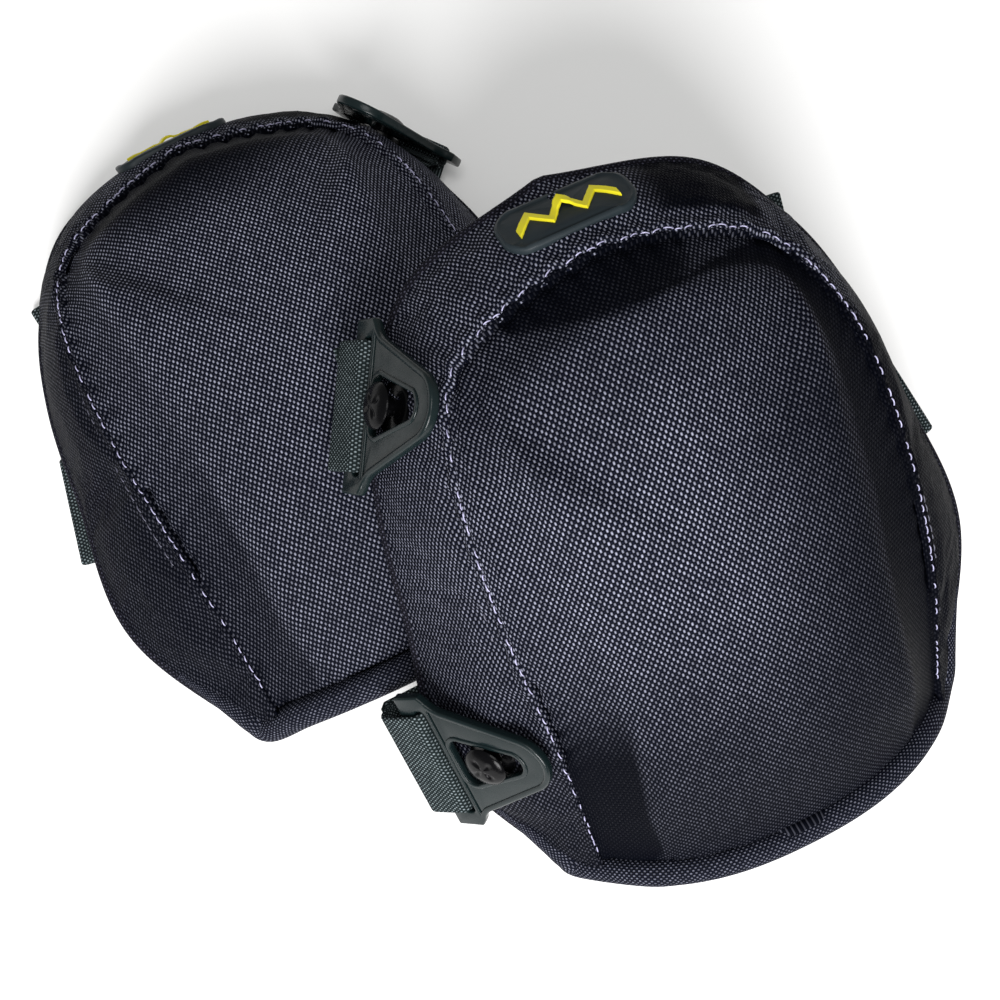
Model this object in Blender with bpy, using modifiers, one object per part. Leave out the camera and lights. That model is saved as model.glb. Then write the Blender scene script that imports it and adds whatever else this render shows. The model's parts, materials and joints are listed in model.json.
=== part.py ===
"""A pair of soft-cap knee pads, lying as they are put down: the left pad flat on its
straps, the right pad propped against it.

Every pad is drawn in its own frame and placed by an empty. In that frame +X runs to the
viewer's right, +Y up the leg and +Z out of the front, z = 0 is the plane of the rim, and
the two clips are on the +X side. The right pad is the mirror image of the left one.
Blender units are metres; the driving dimensions are millimetres and pass through MM.
"""

import math

import bmesh
import bpy
import numpy as np
from mathutils import Matrix, Vector
from mathutils.bvhtree import BVHTree

MM = 0.001
SHARP_ANGLE = 40.0  # edges flatter than this are shaded smooth
TURN_STEPS = 16  # sides of a turned solid
TUBE_DETAIL = 2

# The pad's skin: half outlines from the bottom corner to the middle of the top, (x, y, z).
SEAM = [(60, -104, 12), (61.5, -54, 34), (63, -8, 41), (60, 32, 40), (49, 59, 30), (25, 71, 28), (0, 76, 30)]
RIM = [(66, -113, 1), (91, -58, 0), (86, -8, 0), (80, 28, 0), (68, 58, 0), (45, 85, 0), (0, 97, 0)]
CENTRE_Y = -15.0
CROWN = 62.0  # height of the cap over the rim plane
HEM_Y = -112.0  # lower edge of the cap, at the middle
HEM_Z = 30.0
HEM_FLATNESS = 3.0  # power of the arch across the shin
CAP_POWER = 3.0  # how late the cap turns down towards the seam
HEM_POWER = 2.0  # and towards the hem
BAND_BULGE = 1.8

# Layers, from the outside in.
GAP = 0.3
FOAM_GAP = 1.0
FABRIC = 1.4
SKIN_ALLOWANCE = 3.0  # fabric and a gap, square to the surface
LINER = 1.3
COMFORT = 6.0
COMFORT_TAPER = 0.85
HOLLOW = 35.0  # height of the knee hollow over the rim plane
HOLLOW_POWER = 1.3
HOLLOW_EDGE = 0.6
THINNEST = 1.0
HEM_STACK = 11.5  # thickness of the layers at the hem

# Bindings.
BINDING_RADIUS = 2.3
BINDING_INSET = 1.8
BINDING_START = 0.045  # radians from the pad's lower corner to the binding's end
HEM_RADIUS = 4.8
HEM_DROP = 5.6  # hem roll's centre below the edge of the cap
HEM_SINK = 3.64  # and behind it
HEM_SPREAD = 1.02  # how much wider the hem roll's arch is than the cap's

# Badge on the top of the band.
BADGE = (41.0, 20.0, 1.5)
BADGE_CORNER = 8.0
ZIGZAG = (3, 10.0, 6.0, 3.4, 0.6)  # peaks, pitch, swing, arm, thickness

# Studs: where they stand on the band, and how far along the clip's keyhole.
UPPER_STUD = (67.2, 56.2, 14.7)
LOWER_STUD = (79.0, -51.0, 20.0)
UPPER_SEAT = 14.5
LOWER_SEAT = 20.5
UPPER_TWIST = 11.0  # degrees each clip's nose is turned towards the top of the pad
LOWER_TWIST = -10.0
HEAD_RADIUS = 6.75
NECK_RADIUS = 3.0
SHANK_RADIUS = 2.4
FLANGE_RADIUS = 8.0
WASHER_RADIUS = 6.5

# Clip, drawn from its bar (q = 0) to the tip of its nose.
CLIP_LENGTH = 42.0
CLIP_WIDTH = 51.0
CLIP_THICKNESS = 3.0
CLIP_LIFT = 3.2  # clearance under the plate
NOSE_RADIUS = 10.5
SLOT = (3.0, 6.4)
KEYHOLE = (9.6, 33.0)
KEYHOLE_BASE = 8.6
KEYHOLE_TIP = 4.0

# Elastic webbing: each strap runs from its clip behind the knee to a fold under the far rim.
WEB_WIDTH = 38.0
WEB = 1.6
STRAP_Z = -4.6
ROLL = (11.6, 7.0)
ROLL_HOLE = (8.4, 4.2)
STRAP_CLEARANCE = 17.0
UPPER_END = (-69.0, 46.0)
LOWER_END = (-90.5, -7.0)
FOLD = (12.0, 3.6)
FOLD_HOLE = (9.6, 0.8)

# Placing of the pads.
LEFT_PLACE = Vector((-35.5, 63.9, 7.4)) * MM
RIGHT_OFFSET = Vector((73.0, -104.5, 49.0)) * MM
RIGHT_TURN = (math.radians(28), 0.0, math.radians(-5))

# Fineness.
SPAN_STEPS = 6
RAYS = 32
CAP_ROWS = [0.25, 0.5, 0.72, 0.88, 0.985]
BAND_ROWS = [0.05, 0.3, 0.6, 0.87]
CORE_ROWS = [0.3, 0.55, 0.78, 1.0]
BINDING_POINTS = 27


# ---------------------------------------------------------------- scene and materials

def clear_scene():
    for obj in list(bpy.data.objects):
        bpy.data.objects.remove(obj)


def new_collection(name):
    collection = bpy.data.collections.new(name)
    bpy.context.scene.collection.children.link(collection)
    return collection


def material(name, colour, roughness):
    made = bpy.data.materials.new(name)
    made.use_nodes = True
    shader = made.node_tree.nodes["Principled BSDF"]
    shader.inputs["Base Color"].default_value = (*colour, 1.0)
    shader.inputs["Roughness"].default_value = roughness
    shader.inputs["Metallic"].default_value = 0.0
    return made


def add_object(name, data, parent, look=None, place=None):
    """Links the data as an object under its parent, at a place in the parent's frame."""
    obj = bpy.data.objects.new(name, data)
    PADS.objects.link(obj)
    obj.parent = parent
    obj.matrix_basis = place or Matrix.Identity(4)
    if look:
        data.materials.append(look)
    return obj


def mesh_from(name, points, faces):
    mesh = bpy.data.meshes.new(name)
    mesh.from_pydata([Vector(p) * MM for p in points], [], faces)
    mesh.update()
    return mesh


def smooth(obj):
    obj.data.shade_smooth()
    obj.data.set_sharp_from_angle(angle=math.radians(SHARP_ANGLE))
    return obj


def thicken(obj, thickness, offset=-1.0):
    shell = obj.modifiers.new("thickness", "SOLIDIFY")
    shell.thickness = thickness * MM
    shell.offset = offset
    shell.use_even_offset = True


def cut(obj, cutter):
    hole = obj.modifiers.new("cut " + cutter.name, "BOOLEAN")
    hole.operation = "DIFFERENCE"
    hole.solver = "EXACT"
    hole.object = cutter


# ---------------------------------------------------------------- the pad's form

def through(points):
    """A smooth curve through the points, SPAN_STEPS steps to a span."""
    ends = [2 * points[0] - points[1], *points, 2 * points[-1] - points[-2]]
    curve = []
    for a, b, c, d in zip(ends, ends[1:], ends[2:], ends[3:]):
        for t in np.linspace(0, 1, SPAN_STEPS, endpoint=False):
            curve.append(0.5 * (2 * b + (c - a) * t + (2 * a - 5 * b + 4 * c - d) * t**2
                                + (3 * b - a - 3 * c + d) * t**3))
    curve.append(points[-1])
    return np.array(curve)


def full_outline(half):
    """The whole outline from a half, right bottom corner to left bottom corner."""
    right = through([np.array(p, float) for p in half])
    left = (right * (-1, 1, 1))[::-1]
    left[0] = left[0] + (-1e-6, 0, 0)
    return np.vstack([right, left[1:]])


def hem_edge():
    """The cap's lower edge, left corner to right corner: an arch over the shin."""
    corner_x, corner_y, corner_z = SEAM[0]
    x = np.linspace(-corner_x, corner_x, 4 * SPAN_STEPS + 1)
    out = np.abs(x / corner_x)
    y = HEM_Y + (corner_y - HEM_Y) * out**2
    z = HEM_Z + (corner_z - HEM_Z) * out**HEM_FLATNESS
    return np.stack([x, y, z], 1)


class Polar:
    """A closed outline as radius and height over the angle round the pad's centre."""

    def __init__(self, outline):
        flat = outline[:, :2] - (0, CENTRE_Y)
        angle = np.unwrap(np.arctan2(flat[:, 1], flat[:, 0]))
        radius = np.hypot(flat[:, 0], flat[:, 1])
        turns = (-2 * math.pi, 0, 2 * math.pi)
        self.angle = np.concatenate([angle + t for t in turns])
        self.radius = np.tile(radius, 3)
        self.height = np.tile(outline[:, 2], 3)
        order = np.argsort(self.angle)
        self.angle, self.radius, self.height = self.angle[order], self.radius[order], self.height[order]

    def at(self, angle):
        return np.interp(angle, self.angle, self.radius), np.interp(angle, self.angle, self.height)


SEAM_LINE = Polar(np.vstack([full_outline(SEAM), hem_edge()[1:-1]]))
RIM_LINE = Polar(np.vstack([full_outline(RIM), hem_edge()[1:-1]]))
CORNER = math.atan2(SEAM[0][1] - CENTRE_Y, SEAM[0][0])


def hem_share(angle):
    """0 along the band, rising to 1 at the middle of the hem."""
    off = abs((angle + math.pi / 2 + math.pi) % (2 * math.pi) - math.pi)
    return max(0.0, math.cos(0.5 * math.pi * min(1.0, off / (CORNER + math.pi / 2))))


def cap_point(angle, share):
    """A point on the cap's outer face, from the crown (0) to the seam (1)."""
    radius, edge = SEAM_LINE.at(angle)
    power = CAP_POWER + (HEM_POWER - CAP_POWER) * hem_share(angle)
    height = CROWN + (edge - CROWN) * share**power
    return np.array([share * radius * math.cos(angle), CENTRE_Y + share * radius * math.sin(angle), height])


def band_point(angle, share):
    """A point on the band's outer face, from the seam (0) to the rim (1)."""
    (r0, z0), (r1, z1) = SEAM_LINE.at(angle), RIM_LINE.at(angle)
    run, fall = r1 - r0, z0 - z1
    slant = math.hypot(run, fall)
    bulge = BAND_BULGE * math.sin(math.pi * share)
    radius = r0 + share * run + bulge * fall / slant
    height = z0 - share * fall + bulge * run / slant
    return np.array([radius * math.cos(angle), CENTRE_Y + radius * math.sin(angle), height])


def skin_height(angle, radius):
    """Height of the skin over the rim plane at this distance from the centre."""
    seam, _ = SEAM_LINE.at(angle)
    if radius <= seam:
        return cap_point(angle, radius / seam)[2]
    (r0, z0), (r1, z1) = SEAM_LINE.at(angle), RIM_LINE.at(angle)
    return z0 + (z1 - z0) * (radius - r0) / (r1 - r0)


def under_skin(angle, radius):
    """The highest that padding reaches: the skin's height less the fabric, square to it."""
    step = 1.0
    slope = (skin_height(angle, radius - step) - skin_height(angle, radius)) / step
    return skin_height(angle, radius) - SKIN_ALLOWANCE * math.hypot(1.0, slope)


def hollow_height(angle, share):
    """Height of the liner's face over the knee, from the middle (0) to the edge (1)."""
    _, edge = RIM_LINE.at(angle)
    floor = HOLLOW_EDGE + max(0.0, edge - HEM_STACK) * (hem_share(angle) > 0)
    return HOLLOW + (floor - HOLLOW) * share**HOLLOW_POWER


def comfort_height(share):
    """Thickness of the comfort foam, thinner where the pad thins towards its rim."""
    return COMFORT * (1.0 - COMFORT_TAPER * share**2)


# ---------------------------------------------------------------- soft parts

def ring_angles():
    """Rays round the pad, closer together at the hem's corners."""
    hem = np.linspace(-math.pi - CORNER, CORNER, RAYS // 4, endpoint=False)
    band = np.linspace(CORNER, math.pi - CORNER, RAYS - RAYS // 4, endpoint=False)
    return np.concatenate([hem, band])


def ring_faces(rows, rays):
    """Faces of a dome: a fan round point 0, then rings of quads."""
    faces = [(0, 1 + i, 1 + (i + 1) % rays) for i in range(rays)]
    for row in range(rows - 1):
        near, far = 1 + row * rays, 1 + (row + 1) * rays
        for i in range(rays):
            j = (i + 1) % rays
            faces.append((near + i, far + i, far + j, near + j))
    return faces


def cap_panel(prefix, frame):
    """The ballistic fabric cap over the knee."""
    angles = ring_angles()
    points = [(0, CENTRE_Y, CROWN)] + [cap_point(a, row) for row in CAP_ROWS for a in angles]
    mesh = mesh_from("cap", points, ring_faces(len(CAP_ROWS), len(angles)))
    obj = smooth(add_object(prefix + "cap_panel", mesh, frame, FABRIC_LOOK))
    thicken(obj, FABRIC)
    return obj


def border_band(prefix, frame):
    """The U-shaped fabric band from the seam out to the rim."""
    angles = np.linspace(CORNER + 0.07, math.pi - CORNER - 0.07, 27)
    points = [band_point(a, row) for row in BAND_ROWS for a in angles]
    count = len(angles)
    faces = [(r * count + i, (r + 1) * count + i, (r + 1) * count + i + 1, r * count + i + 1)
             for r in range(len(BAND_ROWS) - 1) for i in range(count - 1)]
    mesh = mesh_from("band", points, faces)
    obj = smooth(add_object(prefix + "border_band", mesh, frame, FABRIC_LOOK))
    tree = BVHTree.FromObject(obj, bpy.context.evaluated_depsgraph_get())
    thicken(obj, FABRIC)
    return obj, tree


def edge_share(angle):
    """How far out the padding reaches: to the hem at the bottom, short of the rim elsewhere."""
    return 0.8 + 0.15 * min(1.0, 1.5 * hem_share(angle))


def layer(name, frame, look, top, bottom, reach):
    """A closed layer of padding between two height functions of (angle, share)."""
    angles = ring_angles()
    rays = len(angles)
    upper, lower = [(0, CENTRE_Y, top(0.0, 0.0))], [(0, CENTRE_Y, bottom(0.0, 0.0))]
    for row in CORE_ROWS:
        for a in angles:
            share = row * reach(a)
            radius = share * RIM_LINE.at(a)[0]
            x, y = radius * math.cos(a), CENTRE_Y + radius * math.sin(a)
            upper.append((x, y, top(a, share)))
            lower.append((x, y, bottom(a, share)))
    total = len(upper)
    up = ring_faces(len(CORE_ROWS), rays)
    down = [tuple(total + i for i in reversed(f)) for f in up]
    last = 1 + (len(CORE_ROWS) - 1) * rays
    wall = [(last + i, last + total + i, last + total + (i + 1) % rays, last + (i + 1) % rays)
            for i in range(rays)]
    mesh = mesh_from(name, upper + lower, up + down + wall)
    return smooth(add_object(name, mesh, frame, look))


def padding(prefix, frame):
    """Firm foam core, comfort foam and the liner that touches the knee."""
    def on_liner(a, s):
        return hollow_height(a, s) + LINER

    def on_comfort(a, s):
        return on_liner(a, s) + FOAM_GAP + comfort_height(s)

    def below_skin(a, s):
        return max(under_skin(a, max(1.0, s * RIM_LINE.at(a)[0])), on_comfort(a, s) + FOAM_GAP + THINNEST)

    core = layer(prefix + "foam_core", frame, FOAM_LOOK,
                 below_skin, lambda a, s: on_comfort(a, s) + FOAM_GAP, edge_share)
    layer(prefix + "comfort_foam", frame, COMFORT_LOOK,
          on_comfort, lambda a, s: on_liner(a, s) + FOAM_GAP, edge_share)
    layer(prefix + "knee_liner", frame, LINER_LOOK, on_liner, hollow_height, lambda a: 0.9)
    return core


def tube(name, frame, path, radius, look):
    """A round cord of binding along the path, with closed ends."""
    curve = bpy.data.curves.new(name, "CURVE")
    curve.dimensions = "3D"
    curve.bevel_depth = radius * MM
    curve.bevel_resolution = TUBE_DETAIL
    curve.use_fill_caps = True
    spline = curve.splines.new("POLY")
    spline.points.add(len(path) - 1)
    for point, at in zip(spline.points, path):
        point.co = (*(Vector(at) * MM), 1.0)
    return add_object(name, curve, frame, look)


def bindings(prefix, frame):
    """The thin binding round the rim, and the padded roll along the hem."""
    rim = []
    for a in np.linspace(CORNER + BINDING_START, math.pi - CORNER - BINDING_START, BINDING_POINTS):
        radius = RIM_LINE.at(a)[0] - BINDING_INSET
        rim.append((radius * math.cos(a), CENTRE_Y + radius * math.sin(a), 0.0))
    tube(prefix + "rim_binding", frame, rim, BINDING_RADIUS, BINDING_LOOK)
    hem = []
    for x, y, z in hem_edge()[::2]:
        hem.append((x * HEM_SPREAD, y - HEM_DROP, z - HEM_SINK))
    outer = (RIM[0][0] - 1.0, RIM[0][1] - 3.5, 2.5)
    hem = [(-outer[0], *outer[1:]), *hem, outer]
    tube(prefix + "hem_roll", frame, hem, HEM_RADIUS, BINDING_LOOK)


# ---------------------------------------------------------------- flat outlines

def arc(centre, radius, start, stop, steps):
    """Points round a centre between two angles in degrees, both included."""
    return [(centre[0] + radius * math.cos(math.radians(start + (stop - start) * i / steps)),
             centre[1] + radius * math.sin(math.radians(start + (stop - start) * i / steps)))
            for i in range(steps + 1)]


def rounded(width, height, radius, steps=4, centre=(0.0, 0.0)):
    """A rectangle with round corners, anticlockwise."""
    points = []
    for sx, sy, start in ((1, 1, 0), (-1, 1, 90), (-1, -1, 180), (1, -1, 270)):
        corner = (centre[0] + sx * (width / 2 - radius), centre[1] + sy * (height / 2 - radius))
        points += arc(corner, radius, start, start + 90, steps)
    return points


def plate(name, parent, outlines, thickness, look, place):
    """A flat plate, first outline outside and the others holes, thickness along its Z."""
    curve = bpy.data.curves.new(name, "CURVE")
    curve.dimensions = "2D"
    curve.fill_mode = "BOTH"
    curve.extrude = thickness * MM / 2
    for outline in outlines:
        spline = curve.splines.new("POLY")
        spline.points.add(len(outline) - 1)
        for point, (x, y) in zip(spline.points, outline):
            point.co = (x * MM, y * MM, 0.0, 1.0)
        spline.use_cyclic_u = True
    return add_object(name, curve, parent, look, place)


# ---------------------------------------------------------------- badge

def badge(prefix, frame, tree):
    """The rubber badge bent to the top of the band, and its raised zigzag."""
    width, height, thickness = BADGE
    middle = Vector(band_point(math.pi / 2, 0.5)) * MM
    _, normal, _, _ = tree.find_nearest(middle)
    across = Vector((1, 0, 0))
    upward = normal.cross(across).normalized()

    def on_band(u, v, lift):
        start = middle + across * u * MM + upward * v * MM + normal * 0.02
        hit, slope, _, _ = tree.ray_cast(start, -normal)
        return hit + slope * lift * MM, slope

    columns, rows = 10, 3
    points = []
    for i in range(columns + 1):
        u = width * (i / columns - 0.5)
        inside = max(0.0, abs(u) - (width / 2 - BADGE_CORNER))
        half = height / 2 - BADGE_CORNER + math.sqrt(max(0.0, BADGE_CORNER**2 - inside**2))
        for j in range(rows + 1):
            point, _ = on_band(u, half * (2 * j / rows - 1), 0.4)
            points.append(point / MM)
    step = rows + 1
    faces = [(i * step + j, (i + 1) * step + j, (i + 1) * step + j + 1, i * step + j + 1)
             for i in range(columns) for j in range(rows)]
    obj = smooth(add_object(prefix + "badge", mesh_from("badge", points, faces), frame, BADGE_LOOK))
    thicken(obj, thickness, offset=1.0)

    peaks, pitch, swing, arm, raised = ZIGZAG
    path = [(pitch * (i / 2 - peaks / 2), swing * (i % 2 - 0.5)) for i in range(2 * peaks + 1)]
    outline = [(x, y + arm / 2) for x, y in path] + [(x, y - arm / 2) for x, y in reversed(path)]
    count = len(path)
    points = []
    for level in (0.4 + thickness + GAP, 0.4 + thickness + GAP + raised):
        points += [on_band(x, y, level)[0] / MM for x, y in outline]
    total = len(outline)
    faces = []
    for i in range(count - 1):
        quad = (i, i + 1, total - 2 - i, total - 1 - i)
        faces += [quad, tuple(total + v for v in reversed(quad))]
    faces += [(i, total + i, total + (i + 1) % total, (i + 1) % total) for i in range(total)]
    mesh = mesh_from("zigzag", points, faces)
    turn_outward(mesh)
    add_object(prefix + "badge_motif", mesh, frame, MOTIF_LOOK)


def turn_outward(mesh):
    shape = bmesh.new()
    shape.from_mesh(mesh)
    bmesh.ops.recalc_face_normals(shape, faces=shape.faces)
    shape.to_mesh(mesh)
    shape.free()


# ---------------------------------------------------------------- studs and clips

def turned(name, parent, profile, look):
    """A solid of revolution round Z from an (r, z) profile that runs down its outer side."""
    points = [(r, 0.0, z) for r, z in profile]
    mesh = bpy.data.meshes.new(name)
    mesh.from_pydata([Vector(p) * MM for p in points], [(i, i + 1) for i in range(len(points) - 1)], [])
    obj = add_object(name, mesh, parent, look)
    screw = obj.modifiers.new("turn", "SCREW")
    screw.steps = screw.render_steps = TURN_STEPS
    screw.use_merge_vertices = True
    screw.merge_threshold = 0.00001
    return obj


def stud(name, mount):
    """A riveted mushroom stud: head, neck, flange on the fabric, and shank through it."""
    profile = [(0, 9.4), (3.6, 9.4), (6.0, 8.7), (HEAD_RADIUS, 8.0), (HEAD_RADIUS - 0.3, 7.2),
               (NECK_RADIUS, 6.9), (NECK_RADIUS, 2.3), (FLANGE_RADIUS - 0.5, 2.1), (FLANGE_RADIUS, 1.6),
               (FLANGE_RADIUS, 0.4), (SHANK_RADIUS, 0.4), (SHANK_RADIUS, -4.2), (0, -4.2)]
    return turned(name, mount, profile, PLASTIC_LOOK)


def washer(name, mount):
    """The backing washer behind the band."""
    inner = SHANK_RADIUS + 0.3
    profile = [(inner, -3.0), (WASHER_RADIUS, -3.0), (WASHER_RADIUS, -3.8), (inner, -3.8), (inner, -3.0)]
    return turned(name, mount, profile, STEEL_LOOK)


def drill(name, parent, radius, top, bottom):
    """A cutter: a cylinder along the mount's Z."""
    shape = bmesh.new()
    bmesh.ops.create_cone(shape, cap_ends=True, segments=16, radius1=radius * MM, radius2=radius * MM,
                          depth=(top - bottom) * MM)
    bmesh.ops.translate(shape, verts=shape.verts, vec=Vector((0, 0, (top + bottom) / 2 * MM)))
    mesh = bpy.data.meshes.new(name)
    shape.to_mesh(mesh)
    shape.free()
    obj = bpy.data.objects.new(name, mesh)
    CUTTERS.objects.link(obj)
    obj.parent = parent
    obj.hide_render = True
    obj.display_type = "WIRE"
    return obj


def clip_outlines():
    """The clip's outline, its strap slot and its keyhole, q along X and the bar along Y."""
    half = CLIP_WIDTH / 2
    tip = CLIP_LENGTH - NOSE_RADIUS
    outline = arc((tip, 0), NOSE_RADIUS, -62, 62, 10)
    outline += arc((16.5, half + 3.2), 10.5, 242, 198, 4)
    outline += arc((0.6, half - 3.0), 3.2, 20, 180, 5)
    outline += [(x, -y) for x, y in reversed(outline[11:])]
    slot = rounded(SLOT[1] - SLOT[0], WEB_WIDTH + 1.6, 1.2, 2, ((SLOT[0] + SLOT[1]) / 2, 0))
    base_x, tip_x = KEYHOLE[0] + 3.0, KEYHOLE[1] - KEYHOLE_TIP
    keyhole = arc((tip_x, 0), KEYHOLE_TIP, -60, 60, 6)
    keyhole += arc((base_x, KEYHOLE_BASE - 3.0), 3.0, 60, 180, 5)
    keyhole += arc((base_x, 3.0 - KEYHOLE_BASE), 3.0, 180, 300, 5)
    return [outline, slot, keyhole]


def stadium_ring(outer, hole):
    """A flattened loop of webbing, as an outline and its hole."""
    return [rounded(*outer, outer[1] / 2 - 0.01, 5), rounded(*hole, hole[1] / 2 - 0.01, 4)]


def on_edge(middle, along, up):
    """A place whose X runs along, Y up, and Z across the web."""
    across = Vector(along).cross(Vector(up))
    turn = Matrix((along, up, across)).transposed().to_4x4()
    return Matrix.Translation(Vector(middle) * MM) @ turn


def clip(name, mount, seat):
    """The triangular strap clip, its bar outward and its keyhole round the stud's neck."""
    place = Matrix.Translation(Vector((-seat, 0, CLIP_LIFT + CLIP_THICKNESS / 2)) * MM)
    return plate(name, mount, clip_outlines(), CLIP_THICKNESS, PLASTIC_LOOK, place)


def strap_end(name, mount, seat):
    """The sewn end of the strap, looped round the clip's bar."""
    place = on_edge((-seat + 0.25, 0, CLIP_LIFT + CLIP_THICKNESS / 2), (1, 0, 0), (0, 0, 1))
    return plate(name, mount, stadium_ring(ROLL, ROLL_HOLE), WEB_WIDTH, WEB_LOOK, place)


def stud_mount(name, frame, tree, spot, twist, side):
    """An empty on the band: Z out of the fabric, X up the slope towards the cap, turned by the twist."""
    hit, normal, _, _ = tree.find_nearest(Vector(spot) * MM)
    hit.x, normal.x = hit.x * side, normal.x * side
    up_slope = (Vector((0, 0, 1)) - normal * normal.z).normalized()
    across = normal.cross(up_slope)
    turn = Matrix((up_slope, across, normal)).transposed().to_4x4()
    twist = Matrix.Rotation(math.radians(-side * twist), 4, "Z")
    return add_object(name, None, frame, place=Matrix.Translation(hit) @ turn @ twist)


# ---------------------------------------------------------------- straps

def strap(prefix, frame, start, end, side):
    """The elastic strap across the back, and the fold that is sewn under the far rim."""
    a, b = Vector((start[0] * side, start[1], 0)), Vector((end[0] * side, end[1], 0))
    along = (b - a).normalized()
    fold_middle = b - along * FOLD[0] / 2 + Vector((0, 0, STRAP_Z + WEB / 2 - FOLD[1] / 2))
    place = on_edge(fold_middle, along, (0, 0, 1))
    plate(prefix + "strap_fold", frame, stadium_ring(FOLD, FOLD_HOLE), WEB_WIDTH, WEB_LOOK, place)
    a, b = a + along * STRAP_CLEARANCE, b - along * (FOLD[0] + GAP)
    shape = bmesh.new()
    bmesh.ops.create_cube(shape, size=1.0)
    bmesh.ops.scale(shape, verts=shape.verts, vec=Vector(((b - a).length, WEB_WIDTH, WEB)) * MM)
    mesh = bpy.data.meshes.new(prefix + "strap")
    shape.to_mesh(mesh)
    shape.free()
    middle = (a + b) / 2 + Vector((0, 0, STRAP_Z))
    place = Matrix.Translation(middle * MM) @ Matrix.Rotation(math.atan2(along.y, along.x), 4, "Z")
    return add_object(prefix + "strap", mesh, frame, WEB_LOOK, place)


def fastening(prefix, frame, side, tree, spot, seat, twist, end):
    """One strap with its clip and stud, and two cutters: the shank's hole and the washer's pocket."""
    mount = stud_mount(prefix + "clip_pivot", frame, tree, spot, twist, side)
    stud(prefix + "stud", mount)
    washer(prefix + "stud_washer", mount)
    clip(prefix + "clip", mount, seat)
    strap_end(prefix + "strap_end", mount, seat)
    strap(prefix, frame, spot, end, side)
    return (drill(prefix + "shank_hole", mount, SHANK_RADIUS + 0.3, 4.0, -6.0),
            drill(prefix + "washer_pocket", mount, WASHER_RADIUS + 0.5, 2.0, -4.6))


def knee_pad(prefix, side, location, turn):
    """One whole pad. side is 1 with the clips at +X, -1 with them at -X."""
    frame = add_object(prefix + "pad", None, None)
    frame.location = location
    frame.rotation_euler = turn
    cap_panel(prefix, frame)
    band, tree = border_band(prefix, frame)
    core = padding(prefix, frame)
    bindings(prefix, frame)
    badge(prefix, frame, tree)
    for level, spot, seat, twist, end in (("upper_", UPPER_STUD, UPPER_SEAT, UPPER_TWIST, UPPER_END),
                                          ("lower_", LOWER_STUD, LOWER_SEAT, LOWER_TWIST, LOWER_END)):
        hole, pocket = fastening(prefix + level, frame, side, tree, spot, seat, twist, end)
        cut(band, hole)
        cut(core, pocket)


clear_scene()
PADS = new_collection("knee pads")
CUTTERS = new_collection("cutters")
FABRIC_LOOK = material("ballistic fabric", (0.016, 0.017, 0.026), 0.6)
BINDING_LOOK = material("binding", (0.014, 0.015, 0.022), 0.7)
FOAM_LOOK = material("foam", (0.08, 0.08, 0.085), 0.9)
COMFORT_LOOK = material("comfort foam", (0.2, 0.2, 0.21), 0.9)
LINER_LOOK = material("liner", (0.02, 0.02, 0.022), 0.85)
PLASTIC_LOOK = material("clip plastic", (0.02, 0.028, 0.028), 0.4)
STEEL_LOOK = material("steel", (0.5, 0.5, 0.5), 0.35)
WEB_LOOK = material("elastic webbing", (0.02, 0.024, 0.028), 0.75)
BADGE_LOOK = material("badge rubber", (0.02, 0.026, 0.03), 0.5)
MOTIF_LOOK = material("badge yellow", (0.75, 0.62, 0.04), 0.45)
knee_pad("left_", 1, LEFT_PLACE, (0.0, 0.0, 0.0))
knee_pad("right_", -1, LEFT_PLACE + RIGHT_OFFSET, RIGHT_TURN)
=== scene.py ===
"""Looks of the pair of soft-cap knee pads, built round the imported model.

Everything on a pad is made in the pad's own frame in millimetres: +X to the clips' side,
+Y up the leg, +Z out of the front, z = 0 at the rim. The right pad mirrors the left one.
"""

import json
import math

import bmesh
import bpy
import numpy as np
from mathutils import Matrix, Vector
from mathutils.bvhtree import BVHTree


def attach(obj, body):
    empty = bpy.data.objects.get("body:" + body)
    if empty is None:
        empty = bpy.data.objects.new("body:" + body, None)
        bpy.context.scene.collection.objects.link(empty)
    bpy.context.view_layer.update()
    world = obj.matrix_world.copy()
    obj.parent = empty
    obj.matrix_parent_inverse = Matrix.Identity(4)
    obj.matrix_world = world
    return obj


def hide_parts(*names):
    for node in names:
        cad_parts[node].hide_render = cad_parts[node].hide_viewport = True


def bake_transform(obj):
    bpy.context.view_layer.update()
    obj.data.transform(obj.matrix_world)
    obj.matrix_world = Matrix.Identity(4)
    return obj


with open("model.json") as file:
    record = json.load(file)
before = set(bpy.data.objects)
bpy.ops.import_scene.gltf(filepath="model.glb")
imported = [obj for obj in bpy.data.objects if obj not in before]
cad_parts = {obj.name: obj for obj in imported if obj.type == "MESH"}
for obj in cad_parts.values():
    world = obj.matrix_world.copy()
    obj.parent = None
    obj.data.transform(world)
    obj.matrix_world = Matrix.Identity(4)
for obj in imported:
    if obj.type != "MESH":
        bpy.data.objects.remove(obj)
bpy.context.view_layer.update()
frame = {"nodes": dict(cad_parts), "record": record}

MM = 0.001

# Half outlines of the seam, the rim and the crease that bounds the cap's face.
SEAM = [(60, -104, 12), (61.5, -54, 34), (63, -8, 41), (60, 32, 40), (49, 59, 30), (25, 71, 28), (0, 76, 30)]
RIM = [(66, -113, 1), (91, -58, 0), (86, -8, 0), (80, 28, 0), (68, 58, 0), (45, 85, 0), (0, 97, 0)]
CREASE = [(43, -110, 23.5), (43, -82, 41), (41, -54, 51), (40, -8, 57.5), (44, 30, 55), (44, 50, 42),
          (24, 57.5, 46), (0, 61, 49)]
CENTRE_Y = -15.0
CROWN = 62.0
HEM_Y = -112.0
HEM_Z = 30.0
HEM_FLATNESS = 3.0
FACE_POWER = 2.3
CREASE_ROUNDING = 1.3
FLANK_HOLLOW = 1.2
BAND_BULGE = 1.8
RIDGE_ANGLE = math.radians(49)  # corner ridge of the band
RIDGE = (1.3, 0.08)  # height and half width in radians
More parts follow.
